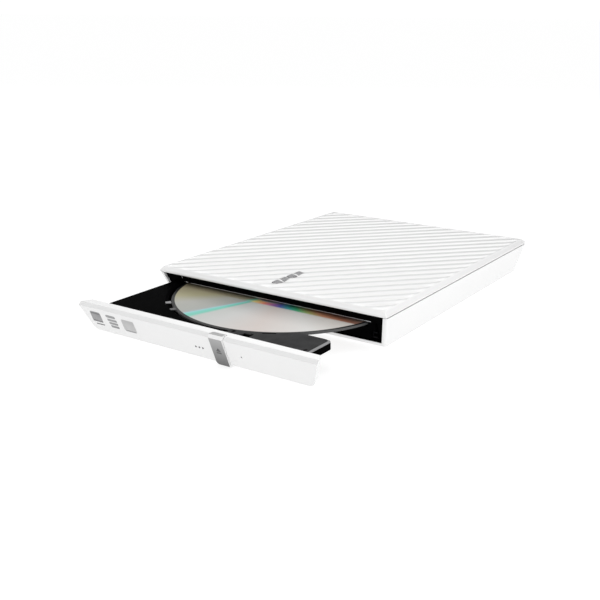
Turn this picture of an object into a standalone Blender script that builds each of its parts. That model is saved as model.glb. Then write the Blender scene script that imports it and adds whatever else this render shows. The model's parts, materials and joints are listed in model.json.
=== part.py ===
"""External slim optical drive, drawn out part of the way with a disc on its spindle.

Lengths are in millimetres and MM turns them into metres. Inside the script Y = 0 is the front edge of the
top cover, +Y runs to the rear, X = 0 is the middle of the width and Z = 0 is the desk. The empty
"drive_frame" carries everything and puts the middle of the whole box on the world's Y = 0.
"""

import math

import bmesh
import bpy
import numpy as np

MM = 0.001

# Driving sizes of the case
CASE_WIDTH = 142.5
CASE_DEPTH = 166.0
TOP_Z = 21.0
PARTING_Z = 19.0  # widest outline: foot of the top cover's chamfer
LIP_Z = 18.1  # lower edge of the top cover's side band
SHADOW_GAP = 0.35  # dark line between the two covers
CHAMFER_IN = 1.9
SKIN = 1.8
BELLY_Z = 1.2  # underside of the bottom cover
SIDE_SLOPE = 0.265  # inward run of the sides and back for each unit of drop
FRONT_SLOPE = 0.37  # the same for the mouth and the fascia

# Ridges of the top cover
RIDGE_PITCH = 7.8
RIDGE_HEIGHT = 0.45

# Mouth
MOUTH_LOW_Z = 2.9
MOUTH_LOW_HALF = 65.2
MOUTH_TOP_HALF = 69.1

# Tray and disc, at the drawn-out rest position
TRAY_OUT = 56.7  # fascia plane ahead of the mouth plane
FASCIA_THICK = 6.9
TRAY_CLOSE = TRAY_OUT - FASCIA_THICK - 0.3
DISC_Y = 21.0
DISC_RADIUS = 60.0
DISC_HOLE = 7.5
DISC_LOW_Z = 11.2
DISC_TOP_Z = 12.4
TRAY_HALF = 63.4
TRAY_FRONT_Y = -46.2
TRAY_REAR_Y = 81.4
TRAY_TOP_Z = 13.3
TRAY_DECK_Z = 9.2
RECESS_Z = 10.6
RECESS_RADIUS = 61.3
SKIRT_LOW_Z = 5.0
SKIRT_HALF = 60.2
SKIRT_WALL = 1.6
STRIP_RIGHT = 59.3  # right end of the front strip of the tray
STRIP_REAR_Y = -26.0
NOTCH_LEFT = 24.0  # the disc overhangs the tray to the right of this
WING_FRONT_Y = 4.0

# Fascia
FASCIA_TOP_Z = 16.1
FASCIA_EDGE_Z = 14.5
FASCIA_LOW_Z = 1.6
FASCIA_HALF = 71.2
FASCIA_LOW_HALF = 67.4
FASCIA_CORNER = 4.0
FASCIA_WALL = 1.9
FASCIA_END_TAPER = 3.0  # each end is this much further in at the back than at the front

# Drive mechanism
PAN_FRONT_Y = 10.4
PAN_REAR_Y = 139.0
PAN_HALF = 64.9
PAN_LOW_Z = 3.1
PAN_SHEET = 0.6
PAN_TOP_Z = 15.2
LID_Z = 15.5
LID_SHEET = 0.6

# Radial drive of the pickup
ROD_Z = 7.0
ROD_RADIUS = 1.2
ROD_X = (-19.5, 17.0)
ROD_FRONT_Y = -41.6
ROD_REAR_Y = 8.0
SCREW_X = -14.8
SCREW_RADIUS = 1.0
SLED_LENS_Y = -5.0

# Controls in the fascia
STRIP_X = (12.8, 20.6)
STRIP_PROUD = 0.7
STRIP_THICK = 1.1
STRIP_TRAVEL = 0.6
STRIP_TOP_REAR = -52.3
BUTTON_BOSS = (16.7, 8.0)
LIGHT_PLACES = (2.3, 4.4, 6.5)
LIGHT_Z = 7.3
PINHOLE = (29.0, 7.8)

# Latch and kick-out plunger
STRIP_UNDER_Z = 9.7  # underside of the tray's front strip, above the latch
LATCH_PIVOT = (30.0, -37.0)
LATCH_PIN = (40.4, LATCH_PIVOT[1] + TRAY_CLOSE + 0.5)
LATCH_LANE = (35.6, 45.2)
PLUNGER_X = -48.0
PLUNGER_Z = 7.3

# Small parts of the case
FOOT_RADIUS = 5.0
FOOT_PLACES = {
    "foot_front_left": (-54.0, 20.0),
    "foot_front_right": (54.0, 20.0),
    "foot_rear_left": (-54.0, 148.0),
    "foot_rear_right": (54.0, 148.0),
}
SCREW_PLACES = [(-40.0, 20.0), (40.0, 20.0), (-40.0, 148.0), (40.0, 148.0)]
USB_X = -30.0
USB_Z = 7.6

# Rails between the case and the tray
RAIL_Z = (5.3, 8.2)
GUIDE_Z = (4.4, 8.9)
GUIDE_Y = (12.0, 132.0)
SLIDE_Y = (5.6, 100.0)

FRONT_MOST_Y = FRONT_SLOPE * (PARTING_Z - FASCIA_EDGE_Z) - TRAY_OUT - STRIP_PROUD
CENTRE_Y = (CASE_DEPTH + FRONT_MOST_Y) / 2

ROUND = 48  # sides of a large circle
SMALL_ROUND = 20  # sides of a small circle
SHARP_DEGREES = 32  # edges that bend more than this stay sharp


# ---------------------------------------------------------------- helpers


def clear_scene():
    for obj in list(bpy.data.objects):
        bpy.data.objects.remove(obj, do_unlink=True)


def material(name, colour, roughness, metallic=0.0, alpha=1.0):
    mat = bpy.data.materials.new(name)
    mat.use_nodes = True
    shader = mat.node_tree.nodes["Principled BSDF"]
    shader.inputs["Base Color"].default_value = (*colour, 1.0)
    shader.inputs["Roughness"].default_value = roughness
    shader.inputs["Metallic"].default_value = metallic
    shader.inputs["Alpha"].default_value = alpha
    return mat


def empty(name, place, parent=None):
    """An empty at a place in the script's millimetres, kept under its parent."""
    obj = bpy.data.objects.new(name, None)
    bpy.context.collection.objects.link(obj)
    obj.parent = parent
    base = np.array(parent["place"]) if parent else np.zeros(3)
    obj["place"] = tuple(float(v) for v in place)
    obj.location = (np.array(place) - base) * MM
    return obj


def to_object(name, mesh, body, mat=None):
    """Makes the object. Its origin is its body's empty, so it lies on that body's joint axis."""
    base = np.array(body["place"])
    for vert in mesh.verts:
        vert.co = (np.array(vert.co) - base) * MM
    bmesh.ops.recalc_face_normals(mesh, faces=mesh.faces)
    data = bpy.data.meshes.new(name)
    mesh.to_mesh(data)
    mesh.free()
    data.shade_smooth()
    data.set_sharp_from_angle(angle=math.radians(SHARP_DEGREES))
    obj = bpy.data.objects.new(name, data)
    bpy.context.collection.objects.link(obj)
    obj.parent = body
    if mat:
        data.materials.append(mat)
    return obj


def loft(rings):
    """A closed mesh through rings of equal length, each a list of points."""
    mesh = bmesh.new()
    made = [[mesh.verts.new(p) for p in ring] for ring in rings]
    count = len(made[0])
    for low, high in zip(made, made[1:]):
        for i in range(count):
            j = (i + 1) % count
            mesh.faces.new((low[i], low[j], high[j], high[i]))
    mesh.faces.new(made[0][::-1])
    mesh.faces.new(made[-1])
    return mesh


def rectangle(x_low, x_high, y_low, y_high, z):
    return [(x_low, y_low, z), (x_high, y_low, z), (x_high, y_high, z), (x_low, y_high, z)]


def block_mesh(low, high):
    return loft([
        rectangle(low[0], high[0], low[1], high[1], low[2]),
        rectangle(low[0], high[0], low[1], high[1], high[2]),
    ])


def block(name, low, high, body, mat):
    return to_object(name, block_mesh(low, high), body, mat)


def plate_mesh(outline, low_z, high_z):
    """An outline in X and Y, extruded upwards."""
    return loft([[(x, y, low_z) for x, y in outline], [(x, y, high_z) for x, y in outline]])


def arc(centre, radius, start, end, steps):
    """Points on a circle from one angle to another, in degrees."""
    angles = np.radians(np.linspace(start, end, steps + 1))
    return [(centre[0] + radius * math.cos(a), centre[1] + radius * math.sin(a)) for a in angles]


def circle(centre, radius, sides=ROUND):
    return arc(centre, radius, 0, 360, sides)[:-1]


def disc_mesh(centre, radius, low_z, high_z, sides=ROUND):
    return plate_mesh(circle(centre, radius, sides), low_z, high_z)


def ring_mesh(centre, outer, inner, low_z, high_z, sides):
    """A flat ring: four circles joined round the section."""
    section = [(outer, low_z), (outer, high_z), (inner, high_z), (inner, low_z)]
    mesh = bmesh.new()
    made = []
    for radius, z in section:
        made.append([mesh.verts.new((x, y, z)) for x, y in circle(centre, radius, sides)])
    for k in range(4):
        low, high = made[k], made[(k + 1) % 4]
        for i in range(sides):
            j = (i + 1) % sides
            mesh.faces.new((low[i], low[j], high[j], high[i]))
    return mesh


def rod_mesh(x, z, radius, front_y, rear_y, sides=SMALL_ROUND):
    """A rod along Y."""
    outline = circle((x, z), radius, sides)
    return loft([[(a, front_y, b) for a, b in outline], [(a, rear_y, b) for a, b in outline]])


def wall_mesh(outline, front_y, rear_y):
    """An outline in X and Z, extruded along Y."""
    return loft([[(x, front_y, z) for x, z in outline], [(x, rear_y, z) for x, z in outline]])


def lean(mesh, level_z):
    """Leans a mesh like the mouth, further back the lower it is. Nothing moves at level_z."""
    for vert in mesh.verts:
        vert.co.y += FRONT_SLOPE * (level_z - vert.co.z)
    return mesh


def stepped(centre, profile, sides=SMALL_ROUND):
    """A turned shape about Z, from pairs of radius and height."""
    return loft([[(a, b, z) for a, b in circle(centre, r, sides)] for r, z in profile])


def join(meshes):
    """Several separate closed meshes in one, for use as one cutter."""
    whole = bmesh.new()
    for part in meshes:
        data = bpy.data.meshes.new("piece")
        part.to_mesh(data)
        part.free()
        whole.from_mesh(data)
        bpy.data.meshes.remove(data)
    return whole


def boolean(obj, mesh, operation="DIFFERENCE"):
    """Cuts a mesh out of the object, or adds it, with a live modifier."""
    cutter = to_object("cut_" + obj.name, mesh, obj.parent)
    cutter.display_type = "WIRE"
    cutter.hide_render = True
    change = obj.modifiers.new(operation.lower(), "BOOLEAN")
    change.operation = operation
    change.solver = "EXACT"
    change.object = cutter


def round_edges(obj, width, segments=2, angle=50):
    change = obj.modifiers.new("round", "BEVEL")
    change.width = width * MM
    change.segments = segments
    change.limit_method = "ANGLE"
    change.angle_limit = math.radians(angle)


def case_half(z):
    """Half the width of the bottom cover at a height."""
    return CASE_WIDTH / 2 - SIDE_SLOPE * (LIP_Z - SHADOW_GAP - z)


def front_y(z):
    """Front of the bottom cover at a height."""
    return FRONT_SLOPE * (PARTING_Z - z)


def rear_y(z):
    return CASE_DEPTH - SIDE_SLOPE * (LIP_Z - SHADOW_GAP - z)


def fascia_y(z):
    """Front plane of the fascia at a height, tray at rest."""
    return -TRAY_OUT + front_y(min(z, FASCIA_EDGE_Z))


# ---------------------------------------------------------------- case


def ridge_rise(x, y):
    """Height of the folded top over its mean: a triangle wave across the diagonal."""
    phase = ((y - x) / math.sqrt(2) / RIDGE_PITCH) % 1.0
    return RIDGE_HEIGHT * (0.5 - abs(2 * phase - 1))


def top_cover(body, mat):
    half = CASE_WIDTH / 2
    low = rectangle(-half, half, 0, CASE_DEPTH, LIP_Z)
    edge = rectangle(-half, half, 0, CASE_DEPTH, PARTING_Z)
    inner = CHAMFER_IN
    top = rectangle(-half + inner, half - inner, inner, CASE_DEPTH - inner, TOP_Z)
    mesh = loft([low, edge, top])
    reach = (CASE_WIDTH + CASE_DEPTH) / math.sqrt(2)
    steps = int(reach / RIDGE_PITCH * 2) + 2
    for step in range(-steps, steps):
        offset = step * RIDGE_PITCH / 2
        crown = [f for f in mesh.faces if f.calc_center_median().z > TOP_Z - 0.01]
        geometry = list(crown)
        geometry += {edge for face in crown for edge in face.edges}
        geometry += {vert for face in crown for vert in face.verts}
        line = (-offset / math.sqrt(2), offset / math.sqrt(2), 0)
        bmesh.ops.bisect_plane(mesh, geom=geometry, plane_co=line, plane_no=(-1, 1, 0), dist=1e-6)
    for vert in mesh.verts:
        if vert.co.z > TOP_Z - 0.01:
            vert.co.z += ridge_rise(vert.co.x, vert.co.y)
    bmesh.ops.triangulate(mesh, faces=mesh.faces, ngon_method="EAR_CLIP")
    cover = to_object("top_cover", mesh, body, mat)
    wall = SKIN + 0.2
    hollow = block_mesh(
        (-half + wall, wall, LIP_Z - 1), (half - wall, CASE_DEPTH - wall, TOP_Z - SKIN - 0.2)
    )
    boolean(cover, hollow)
    return cover


def bottom_cover(body, mat):
    top_z = LIP_Z - SHADOW_GAP

    def ring(z, wall):
        half = case_half(z) - wall
        return rectangle(-half, half, front_y(z) + wall, rear_y(z) - wall, z)

    wall = SKIN - 0.2
    floor = BELLY_Z + 1.4
    cover = to_object("bottom_cover", loft([ring(BELLY_Z, 0), ring(top_z, 0)]), body, mat)
    boolean(cover, loft([ring(floor, wall), ring(top_z + 1, wall)]))
    mouth = [
        (-MOUTH_LOW_HALF, MOUTH_LOW_Z),
        (MOUTH_LOW_HALF, MOUTH_LOW_Z),
        (MOUTH_TOP_HALF, top_z + 0.5),
        (-MOUTH_TOP_HALF, top_z + 0.5),
    ]
    cuts = [wall_mesh(mouth, -3, 9.5)]
    for x, y in FOOT_PLACES.values():
        cuts.append(disc_mesh((x, y), FOOT_RADIUS + 0.4, BELLY_Z - 1, BELLY_Z + 0.4, SMALL_ROUND))
    for x, y in SCREW_PLACES:
        seat = BELLY_Z + 0.7
        cuts.append(stepped((x, y), [(3.0, BELLY_Z - 1), (3.0, seat), (1.5, seat), (1.5, floor + 1)]))
    port = block_mesh((USB_X - 4.4, CASE_DEPTH - 9, USB_Z - 2.6), (USB_X + 4.4, CASE_DEPTH + 3, USB_Z + 2.6))
    cuts.append(port)
    boolean(cover, join(cuts))
    return cover


def feet(body, mat):
    for name, place in FOOT_PLACES.items():
        foot = to_object(name, disc_mesh(place, FOOT_RADIUS, 0, BELLY_Z + 0.1, SMALL_ROUND), body, mat)
        round_edges(foot, 0.3, 1)


def case_screws(body, mat):
    for index, (x, y) in enumerate(SCREW_PLACES, 1):
        profile = [(2.6, BELLY_Z + 0.1), (2.6, BELLY_Z + 0.4), (1.2, BELLY_Z + 0.5), (1.2, PAN_LOW_Z - 0.3)]
        to_object(f"case_screw_{index}", stepped((x, y), profile), body, mat)


def mouth_frame(body, mat):
    """Black portal just inside the mouth: two jambs and a deep lintel."""
    inner, lintel_z, top_z, low_z = 64.3, 13.7, LIP_Z - 0.25, MOUTH_LOW_Z + 0.25
    gap = 0.3
    slant = (MOUTH_TOP_HALF - MOUTH_LOW_HALF) / (LIP_Z - MOUTH_LOW_Z)
    outer_low = MOUTH_LOW_HALF - gap + slant * (low_z - MOUTH_LOW_Z)
    outer_top = MOUTH_LOW_HALF - gap + slant * (top_z - MOUTH_LOW_Z)
    outline = [
        (-outer_low, low_z), (-inner, low_z), (-inner, lintel_z), (inner, lintel_z),
        (inner, low_z), (outer_low, low_z), (outer_top, top_z), (-outer_top, top_z),
    ]
    mesh = lean(wall_mesh(outline, 1.2, 4.0), PARTING_Z)
    return to_object("mouth_frame", mesh, body, mat)


# ---------------------------------------------------------------- fixed part of the drive


def drive_base(body, mat):
    """Folded sheet pan: floor, two side walls and a rear wall, open in front and on top."""
    low = (-PAN_HALF, PAN_FRONT_Y, PAN_LOW_Z)
    high = (PAN_HALF, PAN_REAR_Y, PAN_TOP_Z)
    pan = to_object("drive_base", block_mesh(low, high), body, mat)
    sheet = PAN_SHEET
    half, rear = PAN_HALF - sheet, PAN_REAR_Y - sheet
    hollow = block_mesh((-half, PAN_FRONT_Y - 2, PAN_LOW_Z + sheet), (half, rear, PAN_TOP_Z + 1))
    boolean(pan, hollow)
    boolean(pan, block_mesh((18.0, PAN_REAR_Y - 3, 6.0), (52.0, PAN_REAR_Y + 2, 10.4)))
    return pan


def drive_cover(body, mat):
    """Flat sheet lid with its front edge folded down above the disc."""
    section = [
        (PAN_FRONT_Y - 1.6, 14.2), (PAN_FRONT_Y - 1.0, 14.2), (PAN_FRONT_Y - 1.0, LID_Z),
        (PAN_REAR_Y, LID_Z), (PAN_REAR_Y, LID_Z + LID_SHEET), (PAN_FRONT_Y - 1.6, LID_Z + LID_SHEET),
    ]
    half = PAN_HALF - 0.6
    mesh = loft([[(-half, y, z) for y, z in section], [(half, y, z) for y, z in section]])
    return to_object("drive_cover", mesh, body, mat)


def channel(sign, web, lip, sheet, heights, reach):
    """A C-shaped rail along Y: the web is one edge of the section and the lips point to the other."""
    low_z, high_z = heights
    step = sheet if web < lip else -sheet
    section = [
        (web, low_z), (lip, low_z), (lip, low_z + sheet), (web + step, low_z + sheet),
        (web + step, high_z - sheet), (lip, high_z - sheet), (lip, high_z), (web, high_z),
    ]
    return wall_mesh([(sign * x, z) for x, z in section], *reach)


def rail_guides(body, mat):
    for side, sign in (("left", -1), ("right", 1)):
        to_object(f"rail_guide_{side}", channel(sign, 64.0, 62.3, 0.5, GUIDE_Z, GUIDE_Y), body, mat)


def slide_rails(bodies, mat):
    for side, sign in (("left", -1), ("right", 1)):
        to_object(f"slide_rail_{side}", channel(sign, 60.6, 63.2, 0.6, RAIL_Z, SLIDE_Y), bodies[side], mat)


def control_board(body, mat):
    """Drive electronics on the floor of the pan's rear, under the path of the tray."""
    low = (-50.0, 112.0, PAN_LOW_Z + PAN_SHEET + 0.2)
    return block("control_board", low, (14.0, 137.6, low[2] + 0.35), body, mat)


def rear_boards(body, mats):
    """USB bridge behind the drive: board, chip, inlet, and the connector the drive plugs onto."""
    low, top = 4.2, 5.4
    block("bridge_board", (-46.0, 144.0, low), (34.0, 158.0, top), body, mats["board"])
    chip = block("bridge_chip", (-6.0, 146.5, top + 0.3), (3.0, 155.5, top + 1.4), body, mats["chip"])
    round_edges(chip, 0.2, 1)
    half, base, crown = 3.85, top + 0.3, USB_Z + 2.1
    shell = block_mesh((USB_X - half, 153.6, base), (USB_X + half, 162.6, crown))
    socket = to_object("usb_socket", shell, body, mats["steel"])
    half = 3.3
    boolean(socket, block_mesh((USB_X - half, 155.6, base + 0.5), (USB_X + half, 164.0, crown - 0.5)))
    link = block("sata_connector", (20.0, 136.0, 6.4), (50.0, 143.4, 10.0), body, mats["black"])
    boolean(link, block_mesh((22.0, 140.4, 7.4), (48.0, 145.0, 9.0)))


def latch_pin(body, mat):
    low = PAN_LOW_Z + PAN_SHEET + 0.3
    return to_object("latch_pin", disc_mesh(LATCH_PIN, 1.2, low, 8.2, SMALL_ROUND), body, mat)


def flex_cable(body, mat):
    """Flat cable from the control board to the tray, lying on the floor of the pan."""
    low = PAN_LOW_Z + PAN_SHEET + 0.15
    return block("flex_cable", (-34.0, 64.0, low), (-14.0, 111.4, low + 0.2), body, mat)


# ---------------------------------------------------------------- tray


def tray_outline():
    """Plan of the tray: full width behind, a notch where the disc overhangs, a strip in front."""
    corner = 2.6
    right = STRIP_RIGHT
    turn = arc((right - corner, STRIP_REAR_Y - corner), corner, 0, 90, 5)
    return [
        (-TRAY_HALF, TRAY_FRONT_Y), (right, TRAY_FRONT_Y), *turn, (NOTCH_LEFT, STRIP_REAR_Y),
        (NOTCH_LEFT, WING_FRONT_Y), (TRAY_HALF - 0.6, WING_FRONT_Y), (TRAY_HALF - 0.6, TRAY_REAR_Y),
        (-TRAY_HALF, TRAY_REAR_Y),
    ]


def tray(body, mat):
    piece = to_object("tray", plate_mesh(tray_outline(), SKIRT_LOW_Z, TRAY_TOP_Z), body, mat)
    wall = SKIRT_WALL
    front = -43.6
    inside = [
        (-SKIRT_HALF + wall, front + wall), (NOTCH_LEFT - wall, front + wall),
        (NOTCH_LEFT - wall, WING_FRONT_Y + wall), (SKIRT_HALF - wall, WING_FRONT_Y + wall),
        (SKIRT_HALF - wall, TRAY_REAR_Y - wall), (-SKIRT_HALF + wall, TRAY_REAR_Y - wall),
    ]
    low = SKIRT_LOW_Z - 1
    under = [
        plate_mesh(inside, low, TRAY_DECK_Z),
        block_mesh((-TRAY_HALF - 1, TRAY_FRONT_Y - 1, low), (-SKIRT_HALF, TRAY_REAR_Y + 1, TRAY_DECK_Z)),
        block_mesh((SKIRT_HALF, WING_FRONT_Y - 1, low), (TRAY_HALF + 1, TRAY_REAR_Y + 1, TRAY_DECK_Z)),
        block_mesh((-SKIRT_HALF - 0.5, TRAY_FRONT_Y - 1, low), (TRAY_HALF + 1, front, TRAY_DECK_Z)),
    ]
    for mesh in under:
        boolean(piece, mesh)
    rear, deck = TRAY_REAR_Y, TRAY_DECK_Z
    boolean(piece, block_mesh((NOTCH_LEFT + 0.2, front - 1, low), (TRAY_HALF, -25.0, STRIP_UNDER_Z)))
    boolean(piece, disc_mesh((0, DISC_Y), RECESS_RADIUS, RECESS_Z, TRAY_TOP_Z + 1, 72))
    window = [(-22.0, -37.4), (21.6, -37.4), (21.6, 8.0), *arc((0, DISC_Y), 16.5, -50, 230, 18), (-22.0, 8.0)]
    boolean(piece, plate_mesh(window, low, TRAY_TOP_Z + 1))
    boolean(piece, block_mesh((-3.4, -39.1, low), (3.4, -37.0, TRAY_TOP_Z + 1)))
    boolean(piece, block_mesh((LATCH_LANE[0], WING_FRONT_Y - 1, low), (LATCH_LANE[1], rear + 1, deck - 0.2)))
    low_z, high_z = TRAY_TOP_Z - 0.7, TRAY_TOP_Z + 1
    boolean(piece, block_mesh((11.4, TRAY_FRONT_Y + 0.6, low_z), (STRIP_RIGHT + 2, -24.0, high_z)))
    boolean(piece, block_mesh((PLUNGER_X - 2.2, rear - 3, 6.0), (PLUNGER_X + 2.2, rear + 3, 8.6)))
    return piece


def tray_cover_plate(body, mat):
    """Dark-grey plate on the front strip, cut back to the rim of the disc recess."""
    corner = 2.4
    right, rear = STRIP_RIGHT - 0.1, STRIP_REAR_Y - 0.1
    radius = RECESS_RADIUS + 0.4
    meet = math.degrees(math.asin((DISC_Y - rear) / radius))
    rim = arc((0, DISC_Y), radius, -meet, -78.8, 14)
    outline = [
        (12.0, TRAY_FRONT_Y + 1.0), (right, TRAY_FRONT_Y + 1.0),
        *arc((right - corner, rear - corner), corner, 0, 90, 5), *rim,
    ]
    low = TRAY_TOP_Z - 0.4
    plate = to_object("tray_cover_plate", plate_mesh(outline, low, TRAY_TOP_Z + 0.1), body, mat)
    return plate


def disc_tabs(body, mat):
    """Two small clips on the rim of the recess that keep the disc in when the drive stands on its side."""
    for index, angle in enumerate((230.4, 240.8), 1):
        mid = math.radians(angle)
        x, y = RECESS_RADIUS * math.cos(mid), DISC_Y + RECESS_RADIUS * math.sin(mid)
        mesh = block_mesh((-1.6, -2.0, TRAY_TOP_Z + 0.02), (1.6, 1.3, TRAY_TOP_Z + 0.3))
        turn = mid + math.pi / 2
        for vert in mesh.verts:
            a, b = vert.co.x, vert.co.y
            vert.co.x = x + a * math.cos(turn) - b * math.sin(turn)
            vert.co.y = y + a * math.sin(turn) + b * math.cos(turn)
        to_object(f"disc_tab_{index}", mesh, body, mat)


def fascia(body, mat):
    """Door on the tray: a leaning face under a chamfered top, ends cut back, hollow behind."""
    corner, low, half = FASCIA_CORNER, FASCIA_LOW_Z, FASCIA_LOW_HALF
    edge_half = FASCIA_HALF
    right = [*arc((half - corner, low + corner), corner, -90, -10, 5), (edge_half, FASCIA_EDGE_Z)]
    left = [(-x, z) for x, z in reversed(right)]
    outline = [*right, (edge_half, FASCIA_TOP_Z), (-edge_half, FASCIA_TOP_Z), *left]
    mesh = wall_mesh(outline, 0, FASCIA_THICK)
    front = [v for v in mesh.verts if v.co.y < 0.01]
    for vert in mesh.verts:
        if vert.co.y > 0.01:
            vert.co.x -= math.copysign(FASCIA_END_TAPER, vert.co.x)
    bmesh.ops.connect_verts(mesh, verts=[v for v in front if abs(v.co.z - FASCIA_EDGE_Z) < 0.01])
    crown = FASCIA_TOP_Z - FASCIA_EDGE_Z
    for vert in front:
        if vert.co.z > FASCIA_TOP_Z - 0.01:
            vert.co.y += crown * (1 + FRONT_SLOPE)
    bmesh.ops.triangulate(mesh, faces=[f for f in mesh.faces if len(f.verts) == 4])
    lean(mesh, FASCIA_EDGE_Z)
    for vert in mesh.verts:
        vert.co.y += fascia_y(FASCIA_EDGE_Z)
    piece = to_object("fascia", mesh, body, mat)
    wall = FASCIA_WALL
    hollow = [(-62.0, 3.6), (62.0, 3.6), (65.5, 13.9), (-65.5, 13.9)]
    base = fascia_y(FASCIA_EDGE_Z)
    boolean(piece, lean(wall_mesh(hollow, base + wall, base + 9), FASCIA_EDGE_Z))
    boolean(piece, strip_channel())
    holes = []
    for x, z in [*((x, LIGHT_Z) for x in LIGHT_PLACES), PINHOLE]:
        holes.append(rod_mesh(x, z, 0.6, fascia_y(z) - 2, fascia_y(z) + 3.2, 12))
    x, z = BUTTON_BOSS
    holes.append(rod_mesh(x, z, 1.7, fascia_y(z) + 0.2, fascia_y(z) + 3.4, 16))
    boolean(piece, join(holes))
    return piece


def strip_section():
    """Side view of the eject strip: it wraps over the top and under the bottom of the fascia."""
    proud, thick = STRIP_PROUD, STRIP_THICK
    top = FASCIA_TOP_Z + 0.4
    edge = FASCIA_EDGE_Z + 0.2
    low = FASCIA_LOW_Z - 1.1
    return [
        (fascia_y(low) + 3.6, low), (fascia_y(low) - proud, low), (fascia_y(edge) - proud, edge),
        (fascia_y(edge) - 0.2, top), (STRIP_TOP_REAR, top), (STRIP_TOP_REAR, top - thick),
        (fascia_y(edge) + 0.9, top - thick), (fascia_y(edge) + 0.5, edge - 0.5),
        (fascia_y(low + 0.8) + thick - proud, low + 0.8), (fascia_y(low) + 3.6, low + 0.8),
    ]


def strip_channel():
    """Space for the strip in the fascia, with room for its travel."""
    deep = STRIP_THICK - STRIP_PROUD + STRIP_TRAVEL + 0.3
    top = FASCIA_TOP_Z + 2
    bed = FASCIA_TOP_Z + 0.4 - STRIP_THICK - 0.3
    section = [
        (fascia_y(0) - 3, 0.0), (fascia_y(0) + deep, 0.0), (fascia_y(13.3) + deep, 13.3),
        (fascia_y(FASCIA_EDGE_Z) + deep + 1.6, bed), (STRIP_TOP_REAR + STRIP_TRAVEL + 0.3, bed),
        (STRIP_TOP_REAR + STRIP_TRAVEL + 0.3, top), (fascia_y(0) - 9, top),
    ]
    low, high = STRIP_X[0] - 0.3, STRIP_X[1] + 0.3
    return loft([[(low, y, z) for y, z in section], [(high, y, z) for y, z in section]])


def eject_button(body, mat):
    section = strip_section()
    mesh = loft([[(STRIP_X[0], y, z) for y, z in section], [(STRIP_X[1], y, z) for y, z in section]])
    strip = to_object("eject_button", mesh, body, mat)
    x, z = BUTTON_BOSS
    boolean(strip, rod_mesh(x, z, 1.2, fascia_y(z) - 0.1, fascia_y(z) + 2.3, 16), "UNION")
    return strip


def light_guide(body, mat):
    """Three short light pipes on one bar, ending flush with the fascia."""
    deep = fascia_y(LIGHT_Z) + FASCIA_WALL
    bar = [(0.8, LIGHT_Z - 1), (8.0, LIGHT_Z - 1), (8.0, LIGHT_Z + 1), (0.8, LIGHT_Z + 1)]
    guide = to_object("light_guide", lean(wall_mesh(bar, deep + 0.4, deep + 1.6), LIGHT_Z), body, mat)
    for x in LIGHT_PLACES:
        boolean(guide, rod_mesh(x, LIGHT_Z, 0.42, fascia_y(LIGHT_Z) - 0.05, deep + 1, 12), "UNION")
    return guide


def front_board(body, mats):
    base = fascia_y(FASCIA_EDGE_Z)
    outline = [(-2.0, 4.2), (34.0, 4.2), (34.0, 12.4), (-2.0, 12.4)]
    board = lean(wall_mesh(outline, base + 5.2, base + 6.1), FASCIA_EDGE_Z)
    to_object("front_board", board, body, mats["board"])
    x, z = BUTTON_BOSS
    switch = [(x - 2.2, z - 1.8), (x + 2.2, z - 1.8), (x + 2.2, z + 1.8), (x - 2.2, z + 1.8)]
    deep = base + 2.3 + STRIP_TRAVEL + 0.5
    to_object("eject_switch", lean(wall_mesh(switch, deep, base + 4.9), FASCIA_EDGE_Z), body, mats["black"])


# ---------------------------------------------------------------- traverse on the tray


def traverse_plate(body, mat):
    """Steel frame under the deck that carries the spindle motor and the two rods."""
    low, high = SKIRT_LOW_Z + 0.1, SKIRT_LOW_Z + 0.55
    plate = block("traverse_plate", (-25.0, -41.4, low), (22.0, 40.0, high), body, mat)
    opening = [(-17.0, -38.6), (15.0, -38.6), (15.0, 7.6), (-12.4, 7.6), (-12.4, 19.2), (-17.0, 19.2)]
    boolean(plate, plate_mesh(opening, low - 1, high + 1))
    return plate


def tray_shield(body, mat):
    """Thin sheet that closes the underside of the tray."""
    low = SKIRT_LOW_Z - 0.5
    outline = [(-58.0, -42.0), (22.0, -42.0), (22.0, 6.0), (34.6, 6.0), (34.6, 80.0), (-58.0, 80.0)]
    return to_object("tray_shield", plate_mesh(outline, low, low + 0.35), body, mat)


def spindle_motor(body, mat):
    return to_object("spindle_motor", disc_mesh((0, DISC_Y), 11.5, SKIRT_LOW_Z + 0.85, 9.5, 32), body, mat)


def spinning_parts(body, mats):
    centre = (0, DISC_Y)
    to_object("turntable", disc_mesh(centre, 14.5, 9.8, DISC_LOW_Z - 0.3, 40), body, mats["black"])
    crown_z = DISC_TOP_Z + 1.0
    brim_z = DISC_TOP_Z + 0.4
    profile = [(7.1, DISC_LOW_Z), (7.1, brim_z), (6.2, crown_z), (2.2, crown_z), (1.8, brim_z)]
    cap = to_object("hub_cap", stepped(centre, profile, 32), body, mats["black"])
    fingers = []
    for index in range(3):
        angle = math.radians(90 + 120 * index)
        x, y = 7.0 * math.cos(angle), DISC_Y + 7.0 * math.sin(angle)
        fingers.append(disc_mesh((x, y), 1.0, DISC_TOP_Z + 0.2, DISC_TOP_Z + 0.75, 12))
    boolean(cap, join(fingers), "UNION")
    disc = ring_mesh(centre, DISC_RADIUS, DISC_HOLE, DISC_LOW_Z, DISC_TOP_Z, 96)
    to_object("disc", disc, body, mats["disc"])


def guide_rods(body, mat):
    for side, x in zip(("left", "right"), ROD_X):
        to_object(f"guide_rod_{side}", rod_mesh(x, ROD_Z, ROD_RADIUS, ROD_FRONT_Y, ROD_REAR_Y), body, mat)


def lead_screw(body, mat):
    screw = rod_mesh(SCREW_X, ROD_Z, SCREW_RADIUS, ROD_FRONT_Y, ROD_REAR_Y + 0.6)
    return to_object("lead_screw", screw, body, mat)


def sled_motor(body, mat):
    return to_object("sled_motor", rod_mesh(SCREW_X, ROD_Z, 2.0, ROD_REAR_Y + 0.9, 18.6, 24), body, mat)


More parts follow.
